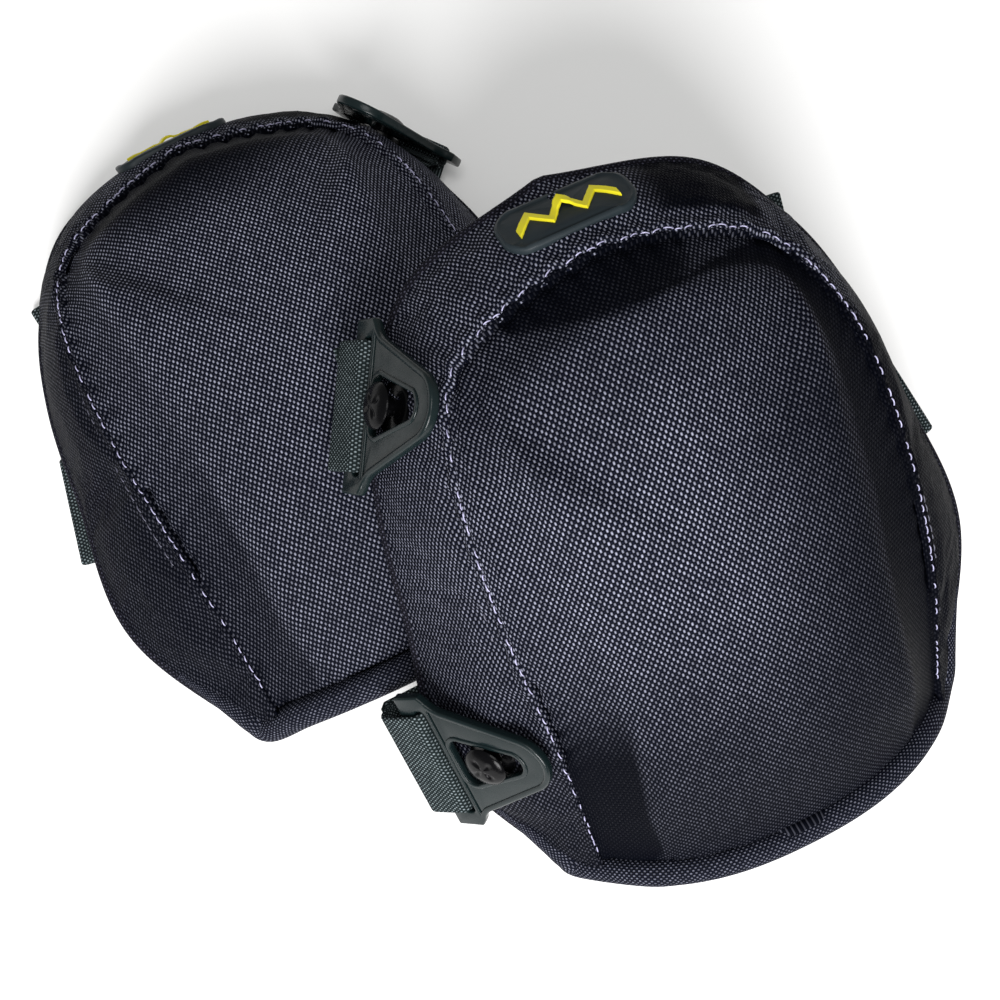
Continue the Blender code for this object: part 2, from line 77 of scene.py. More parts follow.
FABRIC = 1.2
FLOOR_GAP = 0.2

# Seam work.
STITCH_PITCH = 3.4
STITCH_LENGTH = 2.4
STITCH_RADIUS = 0.2
STITCH_INSET = 0.9
TOPSTITCH_INSET = 7.5
PUCKER_PITCH = 8.2
PUCKER = 2.8
GROOVE = 1.3
WANDER = 0.7  # sets where the puckers bunch up

# How finely the cap and the padding are divided round the pad, and the steps of the cloth simulation.
CAP_RAYS = 208
PAD_RAYS = 120
CLOTH_STEPS = 20

# How far painted shade darkens the cloth's colour, from 0 to 1:
LOW_SHADE = {"left": 0.3, "right": 0.985}  # on the shin end of the cap's flanks
FAR_SHADE = {"left": 0.45, "right": 0.97}  # on the cap's flank away from the clips
# Under the top seam: the y where it starts, the y where it is full, and the x it lies between.
HIGH_SHADE = {"left": (28, 58, -40, 60), "right": (56.5, 62.5, -26, 40)}
# On the band's far side, and the share of it that goes at the top.
SIDE_SHADE = {"left": (0.85, 0.2), "right": (0.97, 0.7)}
# Along the top of the band, in degrees round it, from the shade's sharp edge to its soft one.
TOP_SHADE = {"left": (50, 80), "right": (123.5, 101)}
# Painted falloff of the light away from each pad's brightest spot: the reach towards -x, +x and y, and the
# most painted shade.
BRIGHTEST = {"left": (10, 0), "right": (8, 8)}
FALLOFF_SHADE = {"left": (60, 95, 90, 0.5), "right": (29, 100, 62, 0.9)}

# Knee side.
HOLLOW = 35.0
HOLLOW_POWER = 1.3
HOLLOW_EDGE = 0.6
HEM_STACK = 11.5
COMFORT = 6.0

# Clips, studs and webbing, as in the model.
LIFT = 3.2
CLIP_THICKNESS = 3.0
CLIP_MIDDLE = LIFT + CLIP_THICKNESS / 2
CLIP_LENGTH = 42.0
CLIP_WIDTH = 51.0
NOSE_RADIUS = 10.5
SEAT = {"upper": 14.5, "lower": 20.5}
FLAP = {"left": 0.5, "right": 6.0}  # how far the strap's sewn end reaches past the bar
SPOT = {"upper": (67.2, 56.2), "lower": (79.0, -51.0)}
TWIST = {"upper": 11.0, "lower": -10.0}  # degrees each clip's nose is turned towards the top
STRAP_TO = {"upper": (-69.0, 46.0), "lower": (-90.5, -7.0)}
WEB_WIDTH = 38.0
WEB = 1.5
STRAP_Z = -4.6
FOLD = (12.0, 3.4)
BADGE = (41.0, 20.0, 8.0)
ZIGZAG = (3, 10.2, 6.4, 4.0)  # peaks, pitch, swing and the width of the line

PLACE = {"left": (Vector((-35.5, 63.9, 7.4)), Matrix.Identity(3)),
         "right": (Vector((37.5, -40.6, 56.4)),
                   Matrix.Rotation(math.radians(-5), 3, "Z") @ Matrix.Rotation(math.radians(28), 3, "X"))}
SIDE = {"left": 1.0, "right": -1.0}

# The photograph's viewing direction and distance, and the light.
LENS = 51.4
CAMERA_AHEAD = Vector((0.1521, 0.1940, -0.9691)).normalized()
CAMERA_UP = Vector((0.4839, 0.8404, 0.2442))
CAMERA_FROM_LEFT_PAD = Vector((-36.5, -171.3, 470.3))
WORLD_LIGHT = 0.36
LAMP_TARGET = Vector((0, 0, 0.05))
LAMP_SIZE = 0.8


# ---- outlines

def through(points, steps=16):
    """A smooth curve through the points."""
    points = [np.array(p, float) for p in points]
    ends = [2 * points[0] - points[1], *points, 2 * points[-1] - points[-2]]
    curve = []
    for a, b, c, d in zip(ends, ends[1:], ends[2:], ends[3:]):
        for t in np.linspace(0, 1, steps, endpoint=False):
            curve.append(0.5 * (2 * b + (c - a) * t + (2 * a - 5 * b + 4 * c - d) * t**2
                                + (3 * b - a - 3 * c + d) * t**3))
    curve.append(points[-1])
    return np.array(curve)


def lengths_along(path):
    """Distance of each point along the path."""
    return np.concatenate([[0], np.cumsum(np.linalg.norm(np.diff(path, axis=0), axis=1))])


def tangents(path):
    """Unit directions along a path."""
    ahead = np.gradient(np.asarray(path, float), axis=0)
    return ahead / np.linalg.norm(ahead, axis=1, keepdims=True)


def polar(angle, radius, height):
    """Points round the pad's centre."""
    return np.stack([radius * np.cos(angle), CENTRE_Y + radius * np.sin(angle), height], -1)


def arc(centre, radius, start, stop, steps):
    """Points of a round stretch, from one angle in degrees to another."""
    turns = [math.radians(start + (stop - start) * i / steps) for i in range(steps + 1)]
    return [(centre[0] + radius * math.cos(t), centre[1] + radius * math.sin(t)) for t in turns]


def hem_edge(half, steps=40):
    """The cap's lower edge between x = -half and +half: an arch over the shin."""
    x = np.linspace(-half, half, 2 * steps + 1)
    out = np.abs(x / SEAM[0][0])
    y = HEM_Y + (SEAM[0][1] - HEM_Y) * out**2
    return np.stack([x, y, HEM_Z + (SEAM[0][2] - HEM_Z) * out**HEM_FLATNESS], 1)


class Outline:
    """A closed outline as radius and height over the angle round the pad's centre."""

    def __init__(self, half):
        right = through(half)
        left = (right * (-1, 1, 1))[::-1][1:]
        points = np.vstack([right, left, hem_edge(half[0][0])[1:-1]])
        angle = np.arctan2(points[:, 1] - CENTRE_Y, points[:, 0])
        order = np.argsort(angle)
        turns = np.array([-2 * math.pi, 0, 2 * math.pi])
        self.angle = np.concatenate([angle[order] + t for t in turns])
        self.radius = np.tile(np.hypot(points[:, 0], points[:, 1] - CENTRE_Y)[order], 3)
        self.height = np.tile(points[:, 2][order], 3)

    def at(self, angle):
        return np.interp(angle, self.angle, self.radius), np.interp(angle, self.angle, self.height)


SEAM_LINE, RIM_LINE, CREASE_LINE = Outline(SEAM), Outline(RIM), Outline(CREASE)
CORNER = math.atan2(SEAM[0][1] - CENTRE_Y, SEAM[0][0])


def smoothstep(low, high, value):
    t = np.clip((value - low) / (high - low), 0, 1)
    return t * t * (3 - 2 * t)


def cap_height(angle, radius):
    """Height of the cap: a domed face inside the crease, steep flanks from there to the seam."""
    (rs, zs), (rc, zc) = SEAM_LINE.at(angle), CREASE_LINE.at(angle)
    face = CROWN - (CROWN - zc) * np.clip(radius / rc, 0, 2) ** FACE_POWER
    width = np.maximum(rs - rc, 0.5)
    along = (radius - rc) / width
    flank = zc + (zs - zc) * along - FLANK_HOLLOW * np.sin(math.pi * np.clip(along, 0, 1))
    both = -CREASE_ROUNDING * np.logaddexp(-face / CREASE_ROUNDING, -flank / CREASE_ROUNDING)
    return face + smoothstep(0.5, 5.0, rs - rc) * (both - face)


def skin_height(x, y):
    """Height of the whole skin over the rim plane."""
    angle, radius = np.arctan2(y - CENTRE_Y, x), np.hypot(x, y - CENTRE_Y)
    (rs, zs), (rr, zr) = SEAM_LINE.at(angle), RIM_LINE.at(angle)
    along = np.clip((radius - rs) / np.maximum(rr - rs, 0.5), 0, 1)
    return np.where(radius <= rs, cap_height(angle, radius), zs + (zr - zs) * along)


class Chart:
    """How far across and up the cloth each point of the skin lies, in millimetres of cloth."""

    STEP = 2.0

    def __init__(self):
        self.x = np.arange(-106, 107, self.STEP)
        self.y = np.arange(-132, 113, self.STEP)
        height = skin_height(*np.meshgrid(self.x, self.y))
        dy, dx = np.gradient(height, self.STEP)
        across = np.cumsum(np.hypot(1, np.clip(dx, -2, 2)), 1) * self.STEP
        upward = np.cumsum(np.hypot(1, np.clip(dy, -2, 2)), 0) * self.STEP
        self.across = across - across[:, [len(self.x) // 2]]
        self.upward = upward - upward[[np.argmin(np.abs(self.y - CENTRE_Y))], :]

    def at(self, points):
        i = np.clip((points[:, 0] - self.x[0]) / self.STEP, 0, len(self.x) - 1.001)
        j = np.clip((points[:, 1] - self.y[0]) / self.STEP, 0, len(self.y) - 1.001)
        i0, j0 = i.astype(int), j.astype(int)
        fi, fj = i - i0, j - j0
        return np.stack([(1 - fj) * ((1 - fi) * m[j0, i0] + fi * m[j0, i0 + 1])
                         + fj * ((1 - fi) * m[j0 + 1, i0] + fi * m[j0 + 1, i0 + 1])
                         for m in (self.across, self.upward)], 1)


CHART = Chart()


def seam_run(angle):
    """Distance along the seam at each angle, for what repeats along it."""
    steps = np.linspace(-math.pi, math.pi, 721)
    run = lengths_along(polar(steps, *SEAM_LINE.at(steps)))
    return np.interp((angle + math.pi) % (2 * math.pi) - math.pi, steps, run)


def ripple(run):
    """An uneven wave from -1 to 1 along the seam."""
    wander = 1.4 * np.sin(run / 37 + WANDER) + 0.9 * np.sin(run / 17 + 2 * WANDER)
    swing = 0.75 + 0.25 * np.sin(run / 23 + 3 * WANDER)
    return np.cos(2 * math.pi * run / PUCKER_PITCH + wander) * swing


def top_share(angle):
    """1 along the top of the seam, falling to a third along the sides."""
    off = (angle - math.pi / 2 + math.pi) % (2 * math.pi) - math.pi
    return 0.35 + 0.65 * np.exp(-(off / 0.85) ** 2)


def hem_share(angle):
    """0 along the band, rising to 1 at the middle of the hem."""
    off = np.abs((angle + math.pi / 2 + math.pi) % (2 * math.pi) - math.pi)
    return np.cos(0.5 * math.pi * np.clip(off / (CORNER + math.pi / 2), 0, 1))


# ---- materials

class Look:
    """A material with a Principled shader and short calls for its nodes."""

    def __init__(self, name, roughness, **sockets):
        self.material = bpy.data.materials.new(name)
        self.material.use_nodes = True
        self.tree = self.material.node_tree
        self.shader = self.tree.nodes["Principled BSDF"]
        self.shader.inputs["Roughness"].default_value = roughness
        for socket, value in sockets.items():
            self.shader.inputs[socket.replace("_", " ")].default_value = value

    def node(self, kind, **settings):
        node = self.tree.nodes.new(kind)
        for key, value in settings.items():
            setattr(node, key, value)
        return node

    def plug(self, socket, value):
        if isinstance(value, bpy.types.NodeSocket):
            self.tree.links.new(value, socket)
        else:
            socket.default_value = value

    def math(self, operation, a, b=0.0, c=0.0, clamp=False):
        node = self.node("ShaderNodeMath", operation=operation, use_clamp=clamp)
        for socket, value in zip(node.inputs, (a, b, c)):
            self.plug(socket, value)
        return node.outputs[0]

    def mix(self, factor, a, b):
        node = self.node("ShaderNodeMix", data_type="RGBA")
        self.plug(node.inputs["Factor"], factor)
        for socket, colour in zip([s for s in node.inputs if s.type == "RGBA"], (a, b)):
            self.plug(socket, (*colour, 1.0) if isinstance(colour, tuple) else colour)
        return [s for s in node.outputs if s.type == "RGBA"][0]

    def noise(self, scale, vector, detail=2.0, roughness=0.5):
        node = self.node("ShaderNodeTexNoise")
        node.inputs["Scale"].default_value = scale
        node.inputs["Detail"].default_value = detail
        node.inputs["Roughness"].default_value = roughness
        self.plug(node.inputs["Vector"], vector)
        return node.outputs[0]

    def cloth_uv(self):
        return self.node("ShaderNodeUVMap", uv_map="cloth").outputs[0]

    def object_point(self):
        return self.node("ShaderNodeTexCoord").outputs["Object"]

    def split(self, vector):
        return self.plugged("ShaderNodeSeparateXYZ", vector).outputs

    def plugged(self, kind, value, **settings):
        node = self.node(kind, **settings)
        self.plug(node.inputs[0], value)
        return node

    def attribute(self, name):
        return self.node("ShaderNodeAttribute", attribute_name=name).outputs["Fac"]

    def bump(self, height, distance, strength=1.0, under=None):
        node = self.node("ShaderNodeBump")
        node.inputs["Distance"].default_value = distance
        node.inputs["Strength"].default_value = strength
        self.plug(node.inputs["Height"], height)
        if under is not None:
            self.plug(node.inputs["Normal"], under)
        return node.outputs[0]

    def finish(self, colour, normal=None, roughness=None):
        self.plug(self.shader.inputs["Base Color"], colour)
        if normal is not None:
            self.plug(self.shader.inputs["Normal"], normal)
        if roughness is not None:
            self.plug(self.shader.inputs["Roughness"], roughness)
        return self.material


def woven(name, pitch, gap, under, over, relief, roughness=0.45, dims=False, slub=0.25, upright=True):
    """Plain weave: bright floats of one yarn in a brick pattern over the darker yarn, the floats' pale
    colour a painted highlight for the glint of light on them. Pitch in mm.
    """
    look = Look(name, roughness, Specular_IOR_Level=0.015)
    uv = look.cloth_uv()
    u, v, _ = look.split(uv)
    u = look.math("MULTIPLY_ADD", look.noise(0.16, uv, 2.0), 2.4 * slub, u)
    v = look.math("MULTIPLY_ADD", look.noise(0.21, uv, 2.0), 2.0 * slub, v)
    a, b = look.math("DIVIDE", u, pitch[0]), look.math("DIVIDE", v, pitch[1])
    cell_a, cell_b = look.math("FLOOR", a), look.math("FLOOR", b)
    parity = look.math("FLOORED_MODULO", look.math("ADD", cell_a, cell_b), 2.0)
    wave_a = look.math("SINE", look.math("MULTIPLY", look.math("FRACT", a), math.pi))
    wave_b = look.math("SINE", look.math("MULTIPLY", look.math("FRACT", b), math.pi))
    along, cross = (look.math("MULTIPLY", look.math("POWER", x, 0.4), look.math("POWER", y, 0.85))
                    for x, y in ((wave_b, wave_a), (wave_a, wave_b)))
    if not upright:
        along, cross = cross, along
    cell = look.node("ShaderNodeCombineXYZ")
    look.plug(cell.inputs[0], cell_a)
    look.plug(cell.inputs[1], cell_b)
    chance = look.plugged("ShaderNodeTexWhiteNoise", cell.outputs[0], noise_dimensions="2D").outputs[0]
    floats = look.math("MULTIPLY", along, parity)
    sunk = look.math("MULTIPLY", cross, look.math("SUBTRACT", 1.0, parity))
    uneven = look.math("MULTIPLY_ADD", chance, 0.6, 0.55)
    patchy = look.math("MULTIPLY_ADD", look.noise(0.035, uv, 3.0), 0.7, 0.65)
    # Painted highlight: the floats' pale colour stands in for the glint of light on the yarn; the shader's
    # specular is all but off.
    shine = look.math("MULTIPLY", look.math("POWER", floats, 1.9), uneven)
    shine = look.math("MULTIPLY", shine, patchy, clamp=True)
    colour = look.mix(look.math("MULTIPLY", sunk, 0.9), gap, under)
    colour = look.mix(shine, colour, over)
    # Painted shade: the colour is darkened towards the gap colour by the mesh's painted-shade attribute.
    if dims:
        colour = look.mix(look.attribute("dim"), colour, gap)
    height = look.math("ADD", floats, look.math("MULTIPLY", sunk, 0.7))
    rough = look.math("SUBTRACT", roughness + 0.15, look.math("MULTIPLY", shine, 0.25))
    return look.finish(colour, look.bump(height, relief * MM, 0.7), rough)


def moulded(name, base, worn, roughness, gloss):
    """Moulded plastic: fine spark-eroded grain, with paler rubbed patches."""
    look = Look(name, roughness, Specular_IOR_Level=gloss)
    point = look.object_point()
    rubbed = look.math("POWER", look.noise(60.0, point, 6.0, 0.65), 3.0)
    grain = look.noise(2600.0, point, 2.0)
    normal = look.bump(grain, 0.00005, 0.5, look.bump(look.noise(300.0, point, 3.0), 0.0002, 0.25))
    rough = look.math("MULTIPLY_ADD", look.noise(160.0, point, 4.0), 0.25, roughness - 0.12)
    return look.finish(look.mix(rubbed, base, worn), normal, rough)


def foamed(name, dark, light, cell):
    """Open pores of cut foam."""
    look = Look(name, 0.9, Specular_IOR_Level=0.1)
    point = look.object_point()
    pores = look.node("ShaderNodeTexVoronoi")
    look.plug(pores.inputs["Vector"], point)
    pores.inputs["Scale"].default_value = cell
    distance = pores.outputs["Distance"]
    return look.finish(look.mix(distance, dark, light), look.bump(distance, 0.0004, 0.8))


def brushed(name, dark, light):
    """Brushed knit liner: short pile over fine ribs."""
    look = Look(name, 0.85, Specular_IOR_Level=0.1)
    uv = look.cloth_uv()
    u, v, _ = look.split(uv)
    ribs = look.math("SINE", look.math("MULTIPLY", u, 2 * math.pi / 1.6))
    loops = look.math("SINE", look.math("MULTIPLY", v, 2 * math.pi / 1.1))
    knit = look.math("MULTIPLY_ADD", look.math("MULTIPLY", ribs, loops), 0.5, 0.5)
    pile = look.noise(3.0, uv, 4.0, 0.7)
    tone = look.math("MULTIPLY", knit, pile)
    height = look.math("ADD", look.math("MULTIPLY", knit, 0.5), pile)
    look.shader.inputs["Sheen Weight"].default_value = 0.15
    return look.finish(look.mix(tone, dark, light), look.bump(height, 0.0003, 0.7))


def thread(name, colour, bright):
    """Twisted sewing thread."""
    look = Look(name, 0.4)
    point = look.object_point()
    return look.finish(look.mix(look.noise(900.0, point, 2.0), colour, bright),
                       look.bump(look.noise(2200.0, point, 1.0), 0.0001, 0.6))


def steel(name):
    """Scratched washer steel."""
    look = Look(name, 0.35, Metallic=1.0)
    point = look.object_point()
    scratch = look.noise(500.0, point, 5.0, 0.7)
    colour = look.mix(scratch, (0.35, 0.35, 0.36), (0.6, 0.6, 0.62))
    return look.finish(colour, look.bump(scratch, 0.00003, 0.5))


NYLON_GAP = (0.0008, 0.0011, 0.0026)
BALLISTIC = woven("ballistic nylon", pitch=(0.88, 1.12), gap=NYLON_GAP, under=(0.005, 0.006, 0.013),
                  over=(0.275, 0.285, 0.362), relief=0.34, dims=True)
# The hem's floats get a weaker painted highlight than the cap's: painted shade on the rolled hem.
HEM_CLOTH = woven("hem nylon", pitch=(0.80, 0.80), gap=NYLON_GAP, under=(0.005, 0.006, 0.012),
                  over=(0.115, 0.12, 0.155), relief=0.34)
TAPE = woven("binding tape", pitch=(0.9, 0.8), gap=(0.002, 0.002, 0.003), under=(0.008, 0.008, 0.012),
             over=(0.05, 0.05, 0.07), relief=0.25)
ELASTIC = woven("elastic webbing", pitch=(0.62, 0.85), gap=(0.002, 0.004, 0.004),
                under=(0.012, 0.017, 0.018), over=(0.17, 0.205, 0.215), relief=0.25,
                roughness=0.6, slub=0.35, upright=False)
PLASTIC = moulded("clip plastic", (0.0035, 0.0075, 0.008), (0.008, 0.015, 0.016), 0.24, 0.2)
STUD_PLASTIC = moulded("stud plastic", (0.0012, 0.0012, 0.0015), (0.0025, 0.0025, 0.003), 0.19, 0.09)
BADGE_RUBBER = moulded("badge rubber", (0.008, 0.013, 0.016), (0.016, 0.024, 0.028), 0.5, 0.2)
BADGE_YELLOW = moulded("badge yellow", (0.60, 0.53, 0.012), (0.68, 0.61, 0.03), 0.5, 0.2)
SEAM_THREAD = thread("seam thread", (0.10, 0.097, 0.17), (0.50, 0.485, 0.68))
DARK_THREAD = thread("strap thread", (0.08, 0.11, 0.115), (0.30, 0.36, 0.37))
TOP_THREAD = thread("topstitching", (0.02, 0.02, 0.032), (0.10, 0.10, 0.14))
LINER = brushed("brushed liner", (0.006, 0.006, 0.008), (0.05, 0.05, 0.06))
CORE_FOAM = foamed("core foam", (0.02, 0.02, 0.022), (0.10, 0.10, 0.11), 900.0)
SOFT_FOAM = foamed("comfort foam", (0.10, 0.10, 0.11), (0.28, 0.28, 0.30), 600.0)
STEEL = steel("washer steel")


# ---- meshes

def to_world(points, side):
    """Points of a pad's own frame, in millimetres, as world points in metres."""
    location, turn = PLACE[side]
    flipped = np.asarray(points, float) * (SIDE[side], 1, 1)
    return (flipped @ np.array(turn).T + np.array(location)) * MM


def linked(name, data):
    """A new object in the scene."""
    obj = bpy.data.objects.new(name, data)
    bpy.context.scene.collection.objects.link(obj)
    return obj


def mesh_piece(name, world, faces, look, body, slot, uv=None, flip=False, angle=35, **attributes):
    """A smooth-shaded mesh that rides on a body, if one is given, with cloth coordinates in millimetres."""
    mesh = bpy.data.meshes.new(name)
    world = np.maximum(world, (-math.inf, -math.inf, FLOOR_GAP * MM))
    if flip:
        faces = [tuple(reversed(f)) for f in faces]
    mesh.from_pydata([tuple(p) for p in world], [], [tuple(int(i) for i in f) for f in faces])
    mesh.materials.append(look)
    if uv is not None:
        layer = mesh.uv_layers.new(name="cloth")
        loops = np.empty(len(mesh.loops), int)
        mesh.loops.foreach_get("vertex_index", loops)
        layer.data.foreach_set("uv", np.asarray(uv, np.float32)[loops].ravel())
    for key, values in attributes.items():
        mesh.attributes.new(key, "FLOAT", "POINT").data.foreach_set("value", np.asarray(values, np.float32))
    mesh.shade_smooth()
    if angle:
        mesh.set_sharp_from_angle(angle=math.radians(angle))
    obj = linked(name, mesh)
    if body:
        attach(obj, body)
    return obj


def thicken(obj, thickness):
    """Gives a sheet the cloth's thickness."""
    shell = obj.modifiers.new("thickness", "SOLIDIFY")
    shell.thickness = thickness * MM


def pad_piece(side, name, points, faces, look, slot, uv=None, **options):
    """A piece of a pad from points in the pad's own frame."""
    return mesh_piece(f"{side}_{name}", to_world(points, side), faces, look, side + "_pad", slot,
                      uv, side == "right", **options)


def dome_faces(rows, rays):
    """Faces of a cap: a fan round the middle point, then rings of quads."""
    faces = [(0, 1 + i, 1 + (i + 1) % rays) for i in range(rays)]
    for row in range(rows - 1):
        near, far = 1 + row * rays, 1 + (row + 1) * rays
        faces += [(near + i, far + i, far + (i + 1) % rays, near + (i + 1) % rays) for i in range(rays)]
    return faces


def normals_of(points, faces):
    """Smooth normals of a mesh."""
    total = np.zeros_like(points)
    for face in faces:
        corners = points[list(face)]
        normal = np.cross(corners[1] - corners[0], corners[2] - corners[0])
        if len(face) == 4:
            normal = normal + np.cross(corners[2] - corners[0], corners[3] - corners[0])
        for i in face:
            total[i] += normal
    return total / np.maximum(np.linalg.norm(total, axis=1, keepdims=True), 1e-9)


def tube_faces(rings, count):
    """Quads of a tube made of rings of points."""
    return [(r * count + i, r * count + (i + 1) % count,
             (r + 1) * count + (i + 1) % count, (r + 1) * count + i)
            for r in range(rings - 1) for i in range(count)]


def sweep(centres, sides, ups, section):
    """A closed tube of the section along the centres. Returns points, faces and cloth coordinates."""
    centres, sides, ups, section = (np.asarray(v, float) for v in (centres, sides, ups, section))
    count = len(section)
    points = (centres[:, None] + sides[:, None] * section[None, :, :1]
              + ups[:, None] * section[None, :, 1:]).reshape(-1, 3)
    faces = tube_faces(len(centres), count)
    faces += [tuple(reversed(range(count))), tuple(range(len(points) - count, len(points)))]
    around, along = lengths_along(section), lengths_along(centres)
    return points, faces, np.stack([np.tile(around, len(centres)), np.repeat(along, count)], 1)


def frames_along(path, up=(0, 0, 1)):
    """Side and up vectors along a path, up as near as possible to the given direction."""
    ahead = tangents(path)
    side = np.cross(ahead, np.broadcast_to(up, ahead.shape))
    side /= np.linalg.norm(side, axis=1, keepdims=True)
    return side, np.cross(side, ahead)


def ellipse(a, b, count):
    """A round section, from its lowest point."""
    turn = np.linspace(-math.pi / 2, 1.5 * math.pi, count, endpoint=False)
    return np.stack([a * np.cos(turn), b * np.sin(turn)], 1)


def web_section():
    """Cross-section of flat webbing, its long edges rounded."""
    half, r = WEB_WIDTH / 2, WEB / 2
    across = np.linspace(half - r, r - half, 14)
    bend = np.linspace(0, math.pi, 6)[1:-1]
    top = [(x, r) for x in across]
    left = [(r - half - r * math.sin(t), r * math.cos(t)) for t in bend]
    bottom = [(x, -r) for x in across[::-1]]
    right = [(half - r + r * math.sin(t), -r * math.cos(t)) for t in bend]
    return np.array(top + left + bottom + right)


def stitches(points, normals, radius, lift):
    """Short arched threads: one along each pair of points, bowed out along the normals."""
    all_points, all_faces = [], []
    section = ellipse(radius, radius, 6)
    for (a, b), n in zip(points, normals):
        t = np.linspace(0, 1, 5)[:, None]
        bow = np.sin(math.pi * t) ** 0.5 * lift - (1 - np.sin(math.pi * t) ** 0.5) * 0.2
        path = a + (b - a) * t + n * bow
        sides, ups = frames_along(path, n)
        p, f, _ = sweep(path, sides, ups, section)
        first = sum(len(q) for q in all_points)
        all_points.append(p)
        all_faces += [tuple(first + i for i in face) for face in f]
    return np.vstack(all_points), all_faces


# ---- cloth simulation

def swell(obj, pinned, pressure, slack, limit):
    """Lets cloth with some slack billow between its pinned points, no point moving past the limit."""
    rest = np.array([v.co for v in obj.data.vertices])
    pins = obj.vertex_groups.new(name="pins")
    for index, weight in enumerate(pinned):
        pins.add([index], float(weight), "REPLACE")
    cloth = obj.modifiers.new("cloth", "CLOTH")
    settings = cloth.settings
    settings.quality = 6
    settings.mass = 0.15
    settings.tension_stiffness = settings.compression_stiffness = 12
    settings.shear_stiffness = 6
    settings.bending_stiffness = 0.4
    settings.vertex_group_mass = "pins"
    settings.pin_stiffness = 1.0
    settings.use_pressure = True
    settings.uniform_pressure_force = pressure
    settings.shrink_min = -slack
    settings.effector_weights.gravity = 0
    cloth.collision_settings.use_collision = False
    cloth.point_cache.frame_start, cloth.point_cache.frame_end = 1, CLOTH_STEPS
    for step in range(1, CLOTH_STEPS + 1):
        bpy.context.scene.frame_set(step)
    evaluated = obj.evaluated_get(bpy.context.evaluated_depsgraph_get())
    moved = np.array([v.co for v in evaluated.data.vertices])
    obj.modifiers.remove(cloth)
    bpy.context.scene.frame_set(1)
    shift = moved - rest
    far = np.linalg.norm(shift, axis=1, keepdims=True)
    shift *= np.minimum(1, limit / np.maximum(far, 1e-9))
    obj.data.vertices.foreach_set("co", (rest + shift).astype(np.float32).ravel())
    obj.vertex_groups.remove(pins)
    obj.data.update()


# ---- the pad's cloth

def painted_falloff(side, x, y):
    """Painted shade: how much darker the cloth is painted away from each pad's brightest spot, as the light
    falls off.
    """
    (mid_x, mid_y), (to_minus, to_plus, to_y, most) = BRIGHTEST[side], FALLOFF_SHADE[side]
    reach = np.where(x < mid_x, to_minus * (1 + 1.2 * smoothstep(12, 52, y)), to_plus)
    away = ((x - mid_x) / reach) ** 2 + ((y - mid_y) / to_y) ** 2
    return most * (1 - np.exp(-away))


def with_centre(value, rings):
    """Values of the middle point and of every ring after it."""
    return np.concatenate([[value], rings.ravel()])


def cap_dimming(side, x, y, flank, wide):
    """Painted shade on the cap's flanks and under its top seam."""
    low = LOW_SHADE[side] * smoothstep(-0.02, 0.18, flank) * (1 - smoothstep(-62, -12, y)) * wide
    low_y, high_y, left_x, right_x = HIGH_SHADE[side]
    high = 0.95 * smoothstep(low_y, high_y, y - 0.004 * x**2)
    high = high * smoothstep(left_x - 8, left_x + 8, x) * (1 - smoothstep(right_x - 14, right_x + 4, x))
    far = FAR_SHADE[side] * smoothstep(0, 0.3, flank) * (x < 0) * wide * (y < 62)
    return low + high + far


def cap_surface(side):
    """The cap's points, faces, cloth coordinates, painted shade and pin weights, in the pad's frame."""
    angles = np.linspace(-math.pi, math.pi, CAP_RAYS, endpoint=False)
    (rs, zs), (rc, _) = SEAM_LINE.at(angles), CREASE_LINE.at(angles)
    inner = np.linspace(0, 1, 31)[1:, None] ** 0.85 * rc
    outer = rc + np.linspace(0, 1, 17)[1:, None] * (rs - rc)
    tucked = rs + 2.0  # under the band
    radius = np.vstack([inner, outer, tucked])
    turn = np.broadcast_to(angles, radius.shape)
    height = cap_height(turn, radius)
    height[-1] = zs - 2.6
    base = np.vstack([[0, CENTRE_Y, CROWN], polar(turn, radius, height).reshape(-1, 3)])
    faces = dome_faces(len(radius), CAP_RAYS)

    x, y = base[:, 0], base[:, 1]
    turned = with_centre(0, turn)
    gone = with_centre(100.0, np.hypot(rs - radius, height - zs))  # distance from the seam
    gone[-CAP_RAYS:] = 0.0
    hem = hem_share(turned)
    sewn = 1 - smoothstep(0.02, 0.25, hem)
    wave = ripple(seam_run(turned))
    drop = PUCKER * top_share(turned) * np.exp(-gone / 6.5) * (0.5 + 0.5 * wave) * sewn
    drop = drop + GROOVE * np.exp(-(gone / 1.6) ** 2)
    soft = (0.12 * np.sin(x / 13 + 0.6 * np.sin(y / 19)) * np.sin(y / 21 + 1.3)
            + 0.15 * np.sin(x / 7.3 + y / 11) * np.exp(-gone / 16))
    free = (gone > 0.01) | (hem > 0.02)
    points = base + normals_of(base, faces) * ((soft - drop) * free)[:, None]

    flank = with_centre(0, np.clip((radius - rc) / np.maximum(rs - rc, 1), 0, 1))
    wide = with_centre(0, np.broadcast_to(smoothstep(3, 9, rs - rc), radius.shape))
    # Painted shade in the hollows of the puckers under the top seam.
    pucker_shade = 0.65 * top_share(turned) * np.exp(-(gone / 5.5) ** 2) * smoothstep(-0.1, 0.7, wave) * sewn
    shade = cap_dimming(side, x, y, flank, wide) + pucker_shade
    # Painted shade: how far the cloth's colour is darkened, the darkest of the marks.
    dim = np.clip(np.maximum(shade, painted_falloff(side, x, y)), 0, 0.985)
    at_hem = smoothstep(0.94, 1.0, with_centre(0, radius / rs)) * smoothstep(0.0, 0.3, hem)
    pins = np.clip(np.exp(-gone / 2.0) + at_hem, 0, 1)
    return points, faces, CHART.at(base), dim, pins


